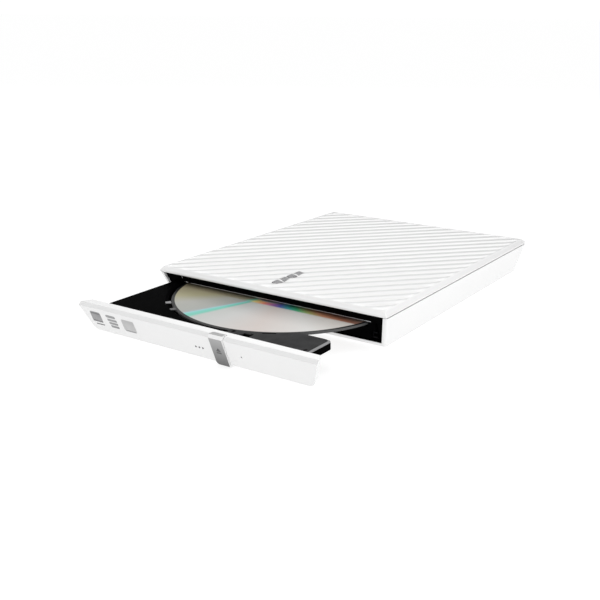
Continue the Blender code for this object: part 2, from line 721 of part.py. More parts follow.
def pickup_sled(body, mat):
    low = (ROD_X[0] - 2.0, SLED_LENS_Y - 4.2, SKIRT_LOW_Z + 0.85)
    high = (ROD_X[1] + 2.0, SLED_LENS_Y + 9.0, TRAY_DECK_Z - 0.35)
    sled = block("pickup_sled", low, high, body, mat)
    bores = [rod_mesh(x, ROD_Z, ROD_RADIUS + 0.08, low[1] - 1, high[1] + 1) for x in ROD_X]
    bores.append(rod_mesh(SCREW_X, ROD_Z, SCREW_RADIUS + 0.3, low[1] - 1, high[1] + 1))
    bores.append(disc_mesh((0, SLED_LENS_Y), 3.4, high[2] - 1.6, high[2] + 1, 24))
    boolean(sled, join(bores))
    return sled


def objective_lens(body, mat):
    base = TRAY_DECK_Z - 0.35 - 1.1
    profile = [(2.6, base), (2.6, base + 1.6), (2.0, base + 1.6), (1.4, base + 1.95), (0.6, base + 2.1)]
    return to_object("objective_lens", stepped((0, SLED_LENS_Y), profile, 24), body, mat)


def latch(bodies, mats):
    """Release lever, its pivot spring and the solenoid that trips it, under the front strip."""
    x, y = LATCH_PIVOT
    moving, fixed = bodies["latch"], bodies["tray"]
    top_z = STRIP_UNDER_Z - 0.3
    outline = [
        *arc((x, y), 2.6, 60, 300, 10), (x + 5.0, y - 1.6), (x + 8.0, y - 1.2), (x + 8.0, y + 4.6),
        (x + 8.9, y + 4.6), (x + 8.2, y + 6.2), (x + 6.2, y + 6.2), (x + 6.2, y + 1.2),
    ]
    lever = to_object("latch_lever", plate_mesh(outline, 6.2, 7.4), moving, mats["white_small"])
    boolean(lever, disc_mesh((x, y), 1.08, 5.0, 9.0, SMALL_ROUND))
    to_object("latch_post", disc_mesh((x, y), 1.0, 5.6, top_z, SMALL_ROUND), fixed, mats["steel"])
    solenoid = block("latch_solenoid", (47.4, y - 4.4, 5.2), (56.0, y + 3.4, top_z), fixed, mats["steel"])
    round_edges(solenoid, 0.5, 1)
    to_object("latch_spring", coil_mesh((x, y), 1.75, 0.15, 7.8, 9.1, 3), fixed, mats["steel"])


def coil_mesh(centre, radius, wire, low_z, high_z, turns, upright=True):
    """A round wire wound into an open helix, with its two ends capped."""
    around, along = 6, 14 * turns
    rings = []
    for k in range(along + 1):
        angle = 2 * math.pi * turns * k / along
        rise = low_z + (high_z - low_z) * k / along
        ring = []
        for m in range(around):
            turn = 2 * math.pi * m / around
            out = radius + wire * math.cos(turn)
            side, lift = out * math.cos(angle), out * math.sin(angle)
            if upright:
                ring.append((centre[0] + side, centre[1] + lift, rise + wire * math.sin(turn)))
            else:
                ring.append((centre[0] + side, rise + wire * math.sin(turn), centre[1] + lift))
        rings.append(ring)
    return loft(rings)


def eject_plunger(bodies, mats):
    """Sprung rod at the rear of the tray that pushes it off the closed position."""
    z, tip = PLUNGER_Z, TRAY_REAR_Y + 5.0
    shaft = rod_mesh(PLUNGER_X, z, 0.9, TRAY_REAR_Y - 16, tip)
    rod = to_object("eject_plunger", shaft, bodies["plunger"], mats["white_small"])
    boolean(rod, rod_mesh(PLUNGER_X, z, 1.15, tip - 1.4, tip - 0.1), "UNION")
    coil = coil_mesh((PLUNGER_X, z), 1.3, 0.18, TRAY_REAR_Y - 14.5, TRAY_REAR_Y - 3.4, 6, upright=False)
    to_object("eject_spring", coil, bodies["tray"], mats["steel"])


# ---------------------------------------------------------------- assembly


def materials():
    return {
        "white": material("gloss_white", (0.90, 0.90, 0.90), 0.22),
        "white_small": material("white_plastic", (0.82, 0.82, 0.80), 0.4),
        "black": material("black_plastic", (0.012, 0.012, 0.013), 0.42),
        "grey": material("dark_grey_plastic", (0.055, 0.055, 0.06), 0.5),
        "clip": material("clip_grey", (0.11, 0.11, 0.115), 0.45),
        "strip": material("brushed_strip", (0.42, 0.42, 0.43), 0.32, 0.9),
        "steel": material("sheet_steel", (0.55, 0.56, 0.57), 0.3, 1.0),
        "dark_steel": material("dark_steel", (0.07, 0.07, 0.075), 0.4, 1.0),
        "board": material("circuit_board", (0.02, 0.14, 0.07), 0.5),
        "chip": material("chip_black", (0.03, 0.03, 0.03), 0.55),
        "rubber": material("foot_rubber", (0.05, 0.05, 0.05), 0.85),
        "flex": material("flex_film", (0.55, 0.30, 0.08), 0.4),
        "disc": material("disc_mirror", (0.72, 0.72, 0.74), 0.12, 0.85),
        "lens": material("lens_glass", (0.25, 0.3, 0.45), 0.05),
        "lights": material("light_pipe", (0.35, 0.35, 0.36), 0.3),
    }


def body_empties():
    """One empty for each rigid body, on the axis of its joint."""
    frame = bpy.data.objects.new("drive_frame", None)
    bpy.context.collection.objects.link(frame)
    frame["place"] = (0.0, 0.0, 0.0)
    frame.location = (0, -CENTRE_Y * MM, 0)
    tray_body = empty("tray_axis", (0, fascia_y(FASCIA_EDGE_Z), 9.0), frame)
    sled_body = empty("sled_axis", (0, SLED_LENS_Y, ROD_Z), tray_body)
    return {
        "case": frame,
        "left": empty("rail_left_axis", (-61.9, SLIDE_Y[0], 7.0), frame),
        "right": empty("rail_right_axis", (61.9, SLIDE_Y[0], 7.0), frame),
        "tray": tray_body,
        "button": empty("button_axis", (BUTTON_BOSS[0], fascia_y(BUTTON_BOSS[1]), BUTTON_BOSS[1]), tray_body),
        "spin": empty("spindle_axis", (0, DISC_Y, DISC_LOW_Z), tray_body),
        "screw": empty("screw_axis", (SCREW_X, ROD_FRONT_Y, ROD_Z), tray_body),
        "sled": sled_body,
        "lens": empty("lens_axis", (0, SLED_LENS_Y, TRAY_DECK_Z), sled_body),
        "latch": empty("latch_axis", (*LATCH_PIVOT, 6.8), tray_body),
        "plunger": empty("plunger_axis", (PLUNGER_X, TRAY_REAR_Y, PLUNGER_Z), tray_body),
    }


def build_case(bodies, mats):
    case = bodies["case"]
    top_cover(case, mats["white"])
    bottom_cover(case, mats["white"])
    feet(case, mats["rubber"])
    case_screws(case, mats["steel"])
    mouth_frame(case, mats["black"])
    drive_base(case, mats["dark_steel"])
    drive_cover(case, mats["dark_steel"])
    rail_guides(case, mats["dark_steel"])
    slide_rails(bodies, mats["dark_steel"])
    control_board(case, mats["board"])
    rear_boards(case, mats)
    latch_pin(case, mats["steel"])
    flex_cable(case, mats["flex"])


def build_tray(bodies, mats):
    moving = bodies["tray"]
    tray(moving, mats["black"])
    tray_cover_plate(moving, mats["grey"])
    disc_tabs(moving, mats["clip"])
    fascia(moving, mats["white"])
    eject_button(bodies["button"], mats["strip"])
    light_guide(moving, mats["lights"])
    front_board(moving, mats)
    traverse_plate(moving, mats["steel"])
    tray_shield(moving, mats["steel"])
    spindle_motor(moving, mats["steel"])
    spinning_parts(bodies["spin"], mats)
    guide_rods(moving, mats["steel"])
    lead_screw(bodies["screw"], mats["steel"])
    sled_motor(moving, mats["steel"])
    pickup_sled(bodies["sled"], mats["grey"])
    objective_lens(bodies["lens"], mats["lens"])
    latch(bodies, mats)
    eject_plunger(bodies, mats)


def main():
    clear_scene()
    mats = materials()
    bodies = body_empties()
    build_case(bodies, mats)
    build_tray(bodies, mats)
    bpy.context.view_layer.update()


main()
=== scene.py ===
"""Looks of the external optical drive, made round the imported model.

Meshes are drawn in the drive's own millimetres: X = 0 is the middle of the width, Y = 0 the front
edge of the lid, +Y the rear and Z = 0 the desk. place_in_world() turns them into world metres.
"""

import json
import math

import bmesh
import bpy
import numpy as np
from mathutils import Matrix, Vector


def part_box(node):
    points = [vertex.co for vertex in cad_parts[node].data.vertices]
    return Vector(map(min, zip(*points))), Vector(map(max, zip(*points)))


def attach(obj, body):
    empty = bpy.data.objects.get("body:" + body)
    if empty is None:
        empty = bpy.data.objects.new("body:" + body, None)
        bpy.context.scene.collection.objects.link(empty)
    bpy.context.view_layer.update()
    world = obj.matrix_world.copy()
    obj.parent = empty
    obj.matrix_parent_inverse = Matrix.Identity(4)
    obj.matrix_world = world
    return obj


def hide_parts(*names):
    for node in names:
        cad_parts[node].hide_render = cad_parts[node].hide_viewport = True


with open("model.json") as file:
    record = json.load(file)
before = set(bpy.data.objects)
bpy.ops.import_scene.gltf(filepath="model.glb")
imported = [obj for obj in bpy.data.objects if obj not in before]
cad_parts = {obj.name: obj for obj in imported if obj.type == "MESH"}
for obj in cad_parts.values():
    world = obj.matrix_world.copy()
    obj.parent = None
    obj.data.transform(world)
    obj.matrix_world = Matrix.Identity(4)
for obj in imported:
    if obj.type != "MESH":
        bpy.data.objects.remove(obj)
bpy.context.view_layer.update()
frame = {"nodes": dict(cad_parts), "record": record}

MM = 0.001
LID_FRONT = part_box("top_cover")[0].y  # world Y of the drive's Y = 0


def drive_box(node):
    """A CAD node's lowest and highest corners in the drive's millimetres."""
    return [(corner - Vector((0, LID_FRONT, 0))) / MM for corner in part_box(node)]


LID_LOW, LID_HIGH = drive_box("top_cover")
TUB_LOW, TUB_HIGH = drive_box("bottom_cover")
FASCIA_LOW, FASCIA_HIGH = drive_box("fascia")
STRIP_LOW, STRIP_HIGH = drive_box("eject_button")
TRAY_LOW, TRAY_HIGH = drive_box("tray")
PLATE_LOW, PLATE_HIGH = drive_box("tray_cover_plate")
FRAME_LOW, FRAME_HIGH = drive_box("mouth_frame")
DISC_LOW, DISC_HIGH = drive_box("disc")
HUB_LOW, HUB_HIGH = drive_box("hub_cap")
TABLE_LOW, TABLE_HIGH = drive_box("turntable")

# Case
HALF = LID_HIGH.x
DEPTH = LID_HIGH.y
PARTING_Z = 19.0  # foot of the lid's chamfer
CHAMFER_IN = 1.9
CROWN_Z = 21.0
SIDE_SLOPE = 0.265  # how far the sides and the rear draw in for each millimetre down
FRONT_SLOPE = 0.37

# Fascia and tray
FASCIA_EDGE_Z = 14.5
FASCIA_TOP_Z = FASCIA_HIGH.z
DISC_Y = (DISC_LOW.y + DISC_HIGH.y) / 2
DISC_RADIUS = (DISC_HIGH.x - DISC_LOW.x) / 2
RECESS_RADIUS = 61.3
RECESS_Z = 10.6
DECK_Z = 9.2

# Sides of the round shapes
PIN_SIDES = 24
SCREW_SIDES = 32
FOOT_SIDES = 48
HUB_SIDES = 96
RECESS_SIDES = 144
DISC_SIDES = 192

SMOOTH_DEGREES = 30  # edges that bend more than this stay sharp, and are rounded by a bevel
ROUNDING_SHARE = 0.45  # the most of a side that the rounding of one corner takes


# ---------------------------------------------------------------- mesh tools


def place_in_world(mesh):
    for vert in mesh.verts:
        vert.co = Vector((vert.co.x * MM, vert.co.y * MM + LID_FRONT, vert.co.z * MM))


def data_from(mesh, name):
    bmesh.ops.recalc_face_normals(mesh, faces=mesh.faces)
    data = bpy.data.meshes.new(name)
    mesh.to_mesh(data)
    mesh.free()
    return data


def add_object(name, data):
    obj = bpy.data.objects.new(name, data)
    bpy.context.scene.collection.objects.link(obj)
    return obj


def solid(name, mesh, cuts=(), joins=()):
    """An object from a mesh in millimetres, with other meshes cut out of it or joined to it."""
    place_in_world(mesh)
    obj = add_object(name, data_from(mesh, name))
    for operation, others in (("UNION", joins), ("DIFFERENCE", cuts)):
        for other in others:
            place_in_world(other)
            helper = add_object("helper", data_from(other, "helper"))
            change = obj.modifiers.new("change", "BOOLEAN")
            change.operation = operation
            change.solver = "EXACT"
            change.object = helper
            graph = bpy.context.evaluated_depsgraph_get()
            done = bpy.data.meshes.new_from_object(obj.evaluated_get(graph))
            obj.modifiers.clear()
            obj.data = done
            bpy.data.objects.remove(helper)
    return obj


def round_edges(obj, width, segments, angle):
    """A bevel on the edges that bend more than an angle in degrees."""
    change = obj.modifiers.new("edges", "BEVEL")
    change.width = width * MM
    change.segments = segments
    change.limit_method = "ANGLE"
    change.angle_limit = math.radians(angle)
    change.harden_normals = True
    return change


def dress(obj, mat, body, replaces=(), bevel=0.2, segments=3):
    """Smooth shading, rounded edges, a material and a place on a body."""
    obj.data.materials.clear()
    obj.data.materials.append(mat)
    obj.data.shade_smooth()
    if bevel:
        round_edges(obj, bevel, segments, SMOOTH_DEGREES).miter_outer = "MITER_ARC"
    obj.data.set_sharp_from_angle(angle=math.radians(SMOOTH_DEGREES))
    if replaces:
        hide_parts(*replaces)
    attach(obj, body)
    return obj


def bridge(mesh, low, high):
    """Faces between two rings of equal length."""
    for i in range(len(low)):
        j = (i + 1) % len(low)
        mesh.faces.new((low[i], low[j], high[j], high[i]))


def loft(rings, hoop=False):
    """A closed mesh through rings of equal length: capped, or joined last to first as a hoop."""
    mesh = bmesh.new()
    made = [[mesh.verts.new(p) for p in ring] for ring in rings]
    for low, high in zip(made, made[1:]):
        bridge(mesh, low, high)
    if hoop:
        bridge(mesh, made[-1], made[0])
    else:
        mesh.faces.new(made[0][::-1])
        mesh.faces.new(made[-1])
    return mesh


def plate(outline, low_z, high_z):
    """An outline in X and Y, extruded along Z."""
    return loft([[(x, y, z) for x, y in outline] for z in (low_z, high_z)])


def wall(outline, front_y, rear_y):
    """An outline in X and Z, extruded along Y."""
    return loft([[(x, y, z) for x, z in outline] for y in (front_y, rear_y)])


def beam(outline, left_x, right_x):
    """An outline in Y and Z, extruded along X."""
    return loft([[(x, y, z) for y, z in outline] for x in (left_x, right_x)])


def box_outline(low_x, high_x, low_y, high_y):
    return [(low_x, low_y), (high_x, low_y), (high_x, high_y), (low_x, high_y)]


def block(low, high):
    return plate(box_outline(low[0], high[0], low[1], high[1]), low[2], high[2])


def shift_y(mesh, distance):
    bmesh.ops.translate(mesh, verts=mesh.verts, vec=(0, distance, 0))


def lean(mesh, level_z):
    """Leans a mesh like the mouth, further back the lower it is. Nothing moves at level_z."""
    for vert in mesh.verts:
        vert.co.y += FRONT_SLOPE * (level_z - vert.co.z)
    return mesh


def arc(centre, radius, start, end, steps):
    angles = np.radians(np.linspace(start, end, steps + 1))
    return [(centre[0] + radius * math.cos(a), centre[1] + radius * math.sin(a)) for a in angles]


def circle(centre, radius, sides):
    return arc(centre, radius, 0, 360, sides)[:-1]


def turned(centre, profile, sides, hoop=False):
    """A shape turned about Z, from pairs of radius and height."""
    return loft([[(x, y, z) for x, y in circle(centre, r, sides)] for r, z in profile], hoop)


def rod(x, z, radius, front_y, rear_y):
    return wall(circle((x, z), radius, PIN_SIDES), front_y, rear_y)


def rounded(points, radius, steps=4):
    """A closed outline with its corners rounded."""
    outline = []
    points = [np.array(p, float) for p in points]
    for i, corner in enumerate(points):
        before, after = points[i - 1] - corner, points[(i + 1) % len(points)] - corner
        lengths = np.linalg.norm(before), np.linalg.norm(after)
        u, v = before / lengths[0], after / lengths[1]
        half = math.acos(max(-1.0, min(1.0, float(u @ v)))) / 2
        reach = min(radius / math.tan(half), *(ROUNDING_SHARE * length for length in lengths))
        centre = corner + (u + v) / np.linalg.norm(u + v) * reach / math.cos(half)
        start, end = corner + u * reach - centre, corner + v * reach - centre
        first = math.atan2(start[1], start[0])
        sweep = (math.atan2(end[1], end[0]) - first + math.pi) % (2 * math.pi) - math.pi
        size = np.linalg.norm(start)
        for k in range(steps + 1):
            angle = first + sweep * k / steps
            outline.append((centre[0] + size * math.cos(angle), centre[1] + size * math.sin(angle)))
    return outline


def mouth_y(z):
    """Front of the tub at a height."""
    return FRONT_SLOPE * (PARTING_Z - z)


def fascia_y(z):
    """Front plane of the fascia at a height."""
    return FASCIA_LOW.y + FRONT_SLOPE * (FASCIA_EDGE_Z - min(z, FASCIA_EDGE_Z))


# ---------------------------------------------------------------- materials


def new_material(name):
    mat = bpy.data.materials.new(name)
    mat.use_nodes = True
    return mat, mat.node_tree, mat.node_tree.nodes["Principled BSDF"]


def add_node(tree, kind, inputs=(), **settings):
    node = tree.nodes.new(kind)
    for key, value in settings.items():
        setattr(node, key, value)
    for key, value in dict(inputs).items():
        if isinstance(value, bpy.types.NodeSocket):
            tree.links.new(value, node.inputs[key])
        else:
            node.inputs[key].default_value = value
    return node


def rgba(colour):
    return (*colour, 1.0)


def grey(level):
    return (level, level, level)


def set_inputs(shader, values):
    for key, value in values.items():
        shader.inputs[key].default_value = value


def math_node(tree, operation, *values):
    return add_node(tree, "ShaderNodeMath", dict(enumerate(values)), operation=operation).outputs[0]


def map_range(tree, value, from_low, from_high, to_low=0.0, to_high=1.0, **settings):
    inputs = {"Value": value, "From Min": from_low, "From Max": from_high,
              "To Min": to_low, "To Max": to_high}
    return add_node(tree, "ShaderNodeMapRange", inputs, **settings).outputs["Result"]


def colour_ramp(tree, share, stops):
    """Colours between pairs of a position from 0 to 1 and a colour."""
    node = add_node(tree, "ShaderNodeValToRGB", {"Fac": share})
    elements = node.color_ramp.elements
    while len(elements) < len(stops):
        elements.new(0.5)
    for element, (position, colour) in zip(elements, stops):
        element.position = position
        element.color = rgba(colour)
    return node.outputs["Color"]


def object_place(tree, stretch=(1, 1, 1)):
    """Object coordinates in millimetres, stretched along the axes."""
    coordinates = add_node(tree, "ShaderNodeTexCoord").outputs["Object"]
    inputs = {"Vector": coordinates, "Scale": [1 / (MM * s) for s in stretch]}
    return add_node(tree, "ShaderNodeMapping", inputs).outputs["Vector"]


def noise(tree, place, size, detail=3.0, rough=0.5):
    """Noise whose blotches are about size millimetres across."""
    inputs = {"Vector": place, "Scale": 1 / size, "Detail": detail, "Roughness": rough}
    return add_node(tree, "ShaderNodeTexNoise", inputs).outputs["Fac"]


def spread(tree, value, low, high):
    """Noise hovers round 0.5: this turns 0.3 to 0.7 into low to high."""
    return map_range(tree, value, 0.3, 0.7, low, high)


def mix_colours(tree, share, first, second):
    node = add_node(tree, "ShaderNodeMix", data_type="RGBA")
    sockets = node.inputs[0], node.inputs[6], node.inputs[7]
    for socket, value in zip(sockets, (share, first, second)):
        if isinstance(value, bpy.types.NodeSocket):
            tree.links.new(value, socket)
        else:
            socket.default_value = value
    return node.outputs[2]


def bump(tree, shader, height, relief):
    """Relief in millimetres for a height that runs from 0 to 1."""
    inputs = {"Height": height, "Distance": relief * MM, "Strength": 1.0}
    node = add_node(tree, "ShaderNodeBump", inputs)
    tree.links.new(node.outputs["Normal"], shader.inputs["Normal"])


MOTTLE_SIZE = 24  # blotches of colour are this many times as wide as the grain
SMOOTHEST = 0.02


def surface(name, colour, roughness, metallic=0.0, mottle=0.06, grain=0.5, relief=0.01,
            stretch=(1, 1, 1), rough_spread=0.06, coat=0.0, specular=0.5):
    """A moulded, drawn or brushed surface: slight mottling, uneven roughness and a fine relief."""
    mat, tree, shader = new_material(name)
    place = object_place(tree, stretch)
    broad = noise(tree, place, grain * MOTTLE_SIZE)
    dark = [c * (1 - mottle) for c in colour]
    light = [min(1.0, c * (1 + mottle)) for c in colour]
    tint = mix_colours(tree, spread(tree, broad, 0.0, 1.0), rgba(dark), rgba(light))
    tree.links.new(tint, shader.inputs["Base Color"])
    fine = noise(tree, place, grain, 4.0, 0.6)
    low, high = max(SMOOTHEST, roughness - rough_spread), roughness + rough_spread
    tree.links.new(spread(tree, fine, low, high), shader.inputs["Roughness"])
    bump(tree, shader, fine, relief)
    set_inputs(shader, {"Metallic": metallic, "Coat Weight": coat, "Coat Roughness": 0.04,
                        "Specular IOR Level": specular})
    return mat


def circuit_material():
    """Green solder mask over copper tracks and rows of pads."""
    mat, tree, shader = new_material("solder_mask")
    place = object_place(tree)
    bricks = {
        "Vector": place, "Scale": 0.45, "Mortar Size": 0.06, "Brick Width": 2.6, "Row Height": 0.55,
        "Color1": rgba(grey(0.0)), "Color2": rgba(grey(0.25)), "Mortar": rgba(grey(1.0)),
    }
    tracks = add_node(tree, "ShaderNodeTexBrick", bricks).outputs["Color"]
    dots = {"Vector": place, "Scale": 0.5, "Randomness": 0.2}
    pads = add_node(tree, "ShaderNodeTexVoronoi", dots).outputs["Distance"]
    holes = math_node(tree, "LESS_THAN", pads, 0.22)
    green = mix_colours(tree, tracks, rgba((0.012, 0.10, 0.05)), rgba((0.03, 0.20, 0.09)))
    colour = mix_colours(tree, holes, green, rgba((0.55, 0.50, 0.35)))
    tree.links.new(colour, shader.inputs["Base Color"])
    fine = noise(tree, place, 0.6)
    tree.links.new(spread(tree, fine, 0.3, 0.45), shader.inputs["Roughness"])
    bump(tree, shader, tracks, 0.03)
    return mat


def strip_material():
    """Satin silver with a painted reflection and shade: lighter at the top, darker towards the foot
    of the strip, with fine lines across it.
    """
    mat, tree, shader = new_material("strip_silver")
    height = add_node(tree, "ShaderNodeSeparateXYZ", {"Vector": object_place(tree)}).outputs["Z"]
    # Painted reflection and shade: the grey runs from dark at the foot to lighter at the top
    share = map_range(tree, height, 1.0, 14.0)
    colour = mix_colours(tree, share, rgba(grey(0.13)), rgba(grey(0.36)))
    tree.links.new(colour, shader.inputs["Base Color"])
    lines = noise(tree, object_place(tree, (24, 1, 1)), 0.3, 4.0, 0.6)
    tree.links.new(spread(tree, lines, 0.34, 0.42), shader.inputs["Roughness"])
    bump(tree, shader, lines, 0.0015)
    set_inputs(shader, {"Metallic": 0.35})
    return mat


# What several surfaces share
GLOSS = {"mottle": 0.006, "grain": 0.9, "relief": 0.004, "rough_spread": 0.04}
METAL = {"grain": 0.12, "metallic": 1.0, "mottle": 0.05, "rough_spread": 0.08}
SHEET = {**METAL, "stretch": (1, 20, 1), "relief": 0.004}
WIRE = {**METAL, "stretch": (6, 6, 1), "relief": 0.003}
PRINT = {"grain": 0.3, "relief": 0.002}

# For each of the record's slots: name, colour, roughness and what differs from the plain surface
SLOT_SURFACES = {
    "gloss_white_plastic": ("gloss_white", grey(0.80), 0.18, {**GLOSS, "coat": 0.35}),
    "white_plastic": ("satin_white", (0.78, 0.78, 0.76), 0.42, {"mottle": 0.03, "relief": 0.012}),
    "black_plastic": ("grained_black", (0.0012, 0.0012, 0.0013), 0.5,
                      {"mottle": 0.3, "grain": 0.25, "relief": 0.02, "specular": 0.002}),
    "dark_grey_plastic": ("grained_grey", (0.030, 0.030, 0.031), 0.5,
                          {"mottle": 0.25, "grain": 0.3, "relief": 0.03, "specular": 0.04}),
    "grey_clip_plastic": ("clip_grey", (0.20, 0.20, 0.205), 0.4, {"mottle": 0.1}),
    "dark_steel": ("black_steel", (0.008, 0.008, 0.009), 0.45, SHEET),
    "sheet_steel": ("rolled_steel", (0.56, 0.57, 0.58), 0.34, SHEET),
    "spring_steel": ("bright_steel", (0.62, 0.62, 0.63), 0.22, WIRE),
    "chip_black": ("chip_epoxy", (0.028, 0.028, 0.029), 0.55,
                   {"mottle": 0.15, "grain": 0.15, "relief": 0.015}),
    "foot_rubber": ("foot_rubber", (0.045, 0.045, 0.046), 0.8,
                    {"mottle": 0.2, "grain": 0.35, "relief": 0.03}),
    "flex_film": ("flex_film", (0.52, 0.28, 0.07), 0.3,
                  {"mottle": 0.12, "grain": 0.6, "relief": 0.006}),
    "light_pipe": ("light_pipe", (0.12, 0.12, 0.125), 0.25,
                   {"mottle": 0.1, "grain": 0.2, "relief": 0.004}),
    "lens_glass": ("lens_glass", (0.16, 0.20, 0.42), 0.08,
                   {"mottle": 0.1, "grain": 0.8, "relief": 0.001, "coat": 1.0}),
}
# The same for trims, prints and the colours that paint highlights and shade, which share a slot
# with the piece that they sit on
TRIM_SURFACES = {
    "mark": ("mark_grey", (0.24, 0.24, 0.245), 0.3, {**PRINT, "metallic": 0.6}),
    "sign": ("sign_grey", (0.07, 0.07, 0.072), 0.4, {"mottle": 0.1, "grain": 0.2, "relief": 0.002}),
    "print_dark": ("print_dark", (0.16, 0.16, 0.165), 0.45, {**PRINT, "mottle": 0.12}),
    "print_middle": ("print_middle", (0.28, 0.28, 0.285), 0.45, {**PRINT, "mottle": 0.2}),
    "print_light": ("print_light", grey(0.48), 0.45, {**PRINT, "mottle": 0.12}),
    # Painted highlight on the strip's shoulder and the lower part of its sides
    "strip_highlight": ("strip_highlight", grey(0.80), 0.25, {"mottle": 0.01, "relief": 0.001}),
    # Painted shade on the door's chamfer
    "door_chamfer_shade": ("door_chamfer_shade", grey(0.72), 0.2, {**GLOSS, "coat": 0.3}),
    # Painted shade: a darker copy of the clip grey, for the second clip
    "clip_shade": ("clip_shade", (0.05, 0.05, 0.052), 0.45, {"mottle": 0.1}),
    # Painted highlight of the lintel's edge
    "lintel_highlight": ("lintel_highlight", (0.55, 0.55, 0.56), 0.3, {**PRINT, "metallic": 0.2}),
    # Painted highlight on the plate's sloping right edge
    "plate_edge_highlight": ("plate_edge_highlight", (0.20, 0.20, 0.205), 0.4,
                   {"mottle": 0.08, "grain": 0.25, "relief": 0.01}),
}


def all_materials():
    mats = {"silver_strip": strip_material(), "circuit_board": circuit_material(),
            "disc_polycarbonate": disc_material()}
    for key, (name, colour, roughness, changes) in {**SLOT_SURFACES, **TRIM_SURFACES}.items():
        mats[key] = surface(name, colour, roughness, **changes)
    return mats


# Angles round the spindle, seen from above, 0 along +X, where the disc's grey and its painted sheen
# change colour
DISC_SHEEN_SECTORS = (
    (-180.0, (0.34, 0.31, 0.22)),
    (-158.0, (0.34, 0.30, 0.20)),
    (-143.0, (0.38, 0.36, 0.23)),
    (-132.0, (0.40, 0.40, 0.37)),
    (-121.0, (0.38, 0.39, 0.36)),
    (-115.5, (0.38, 0.39, 0.38)),
    (-114.5, (0.34, 0.60, 0.66)),
    (-112.5, (0.20, 0.58, 0.50)),
    (-108.8, (0.18, 0.56, 0.44)),
    (-107.8, (0.52, 0.54, 0.52)),
    (-92.0, (0.58, 0.58, 0.57)),
    (-70.0, (0.62, 0.56, 0.53)),
    (-45.0, (0.66, 0.65, 0.63)),
    (-20.0, (0.62, 0.58, 0.54)),
    (30.0, (0.52, 0.53, 0.54)),
    (120.0, (0.44, 0.46, 0.48)),
    (180.0, (0.34, 0.31, 0.22)),
)
# Painted sheen near the lid's front edge: the spectrum's colours by angle
DISC_SHEEN_SPECTRUM = (
    (-180.0, (0.30, 0.25, 0.16)),
    (-122.0, (0.35, 0.32, 0.22)),
    (-116.0, (0.20, 0.65, 0.50)),
    (-108.0, (0.85, 0.70, 0.25)),
    (-93.0, (0.90, 0.30, 0.18)),
    (-78.0, (0.45, 0.16, 0.40)),
    (-66.0, (0.10, 0.12, 0.55)),
    (-55.0, (0.04, 0.40, 0.42)),
    (-45.0, (0.05, 0.55, 0.24)),
    (-37.0, (0.45, 0.50, 0.16)),
    (-30.0, (0.60, 0.26, 0.14)),
    (-22.0, (0.30, 0.11, 0.06)),
    (-10.0, (0.50, 0.40, 0.34)),
    (180.0, (0.45, 0.42, 0.38)),
)
# Steps at the disc's edge: how far inside the edge each starts and ends, and its grey. The first is
# the dark clear rim, the second a painted highlight on the outer edge
DISC_RIM_STEPS = ((1.75, 1.55, 0.008), (0.2, 0.15, 0.09))
DISC_CLEAR_RADII = (17.6, 18.4)  # between these the clear middle gives way to the data zone
DISC_GROOVE_PITCH = 0.9
SHEEN_BAND = (-1.1, 0.3)  # behind the lid's front edge: here the sectors give way to the spectrum
SHEEN_SHARE = 0.95


def angle_ramp(tree, angle, stops):
    """A colour ramp over the angle round the spindle in degrees."""
    share = map_range(tree, angle, -180.0, 180.0)
    return colour_ramp(tree, share, [((degrees + 180.0) / 360.0, c) for degrees, c in stops])


def disc_material():
    """Mirror layer under clear plastic with grooves, and a painted sheen: coloured sectors with a
    spoke, and a spectrum near the lid.
    """
    mat, tree, shader = new_material("disc_mirror")
    place = object_place(tree)
    parts = add_node(tree, "ShaderNodeSeparateXYZ", {"Vector": place})
    centre_y = LID_FRONT / MM + DISC_Y
    across, along = parts.outputs["X"], math_node(tree, "SUBTRACT", parts.outputs["Y"], centre_y)
    turn = math_node(tree, "ARCTAN2", along, across)
    angle = math_node(tree, "MULTIPLY", turn, 180.0 / math.pi)
    squares = [math_node(tree, "MULTIPLY", value, value) for value in (across, along)]
    radius = math_node(tree, "SQRT", math_node(tree, "ADD", *squares))
    # Painted sheen: the colours that the grooves throw back, fixed to the disc
    sectors = angle_ramp(tree, angle, DISC_SHEEN_SECTORS)
    spectrum = angle_ramp(tree, angle, DISC_SHEEN_SPECTRUM)
    front_edge = -DISC_Y  # the lid's front edge, seen from the spindle
    start, end = (front_edge + step for step in SHEEN_BAND)
    near = map_range(tree, along, start, end, 0.0, SHEEN_SHARE, interpolation_type="SMOOTHSTEP")
    colour = mix_colours(tree, near, sectors, spectrum)
    # The dark clear rim, then a painted highlight along the outer edge
    for inward, outward, level in DISC_RIM_STEPS:
        share = map_range(tree, radius, DISC_RADIUS - inward, DISC_RADIUS - outward)
        colour = mix_colours(tree, share, colour, rgba(grey(level)))
    data_zone = map_range(tree, radius, *DISC_CLEAR_RADII)
    colour = mix_colours(tree, data_zone, rgba((0.55, 0.56, 0.57)), colour)
    tree.links.new(colour, shader.inputs["Base Color"])
    phase = math_node(tree, "MULTIPLY", radius, 2 * math.pi / DISC_GROOVE_PITCH)
    grooves = map_range(tree, math_node(tree, "SINE", phase), -1.0, 1.0)
    rough = noise(tree, place, 9.0)
    tree.links.new(spread(tree, rough, 0.40, 0.44), shader.inputs["Roughness"])
    bump(tree, shader, grooves, 0.0002)
    set_inputs(shader, {"Metallic": 0.12, "Specular IOR Level": 0.12, "Coat Weight": 0.05,
                        "Coat Roughness": 0.03})
    return mat


# ---------------------------------------------------------------- lid


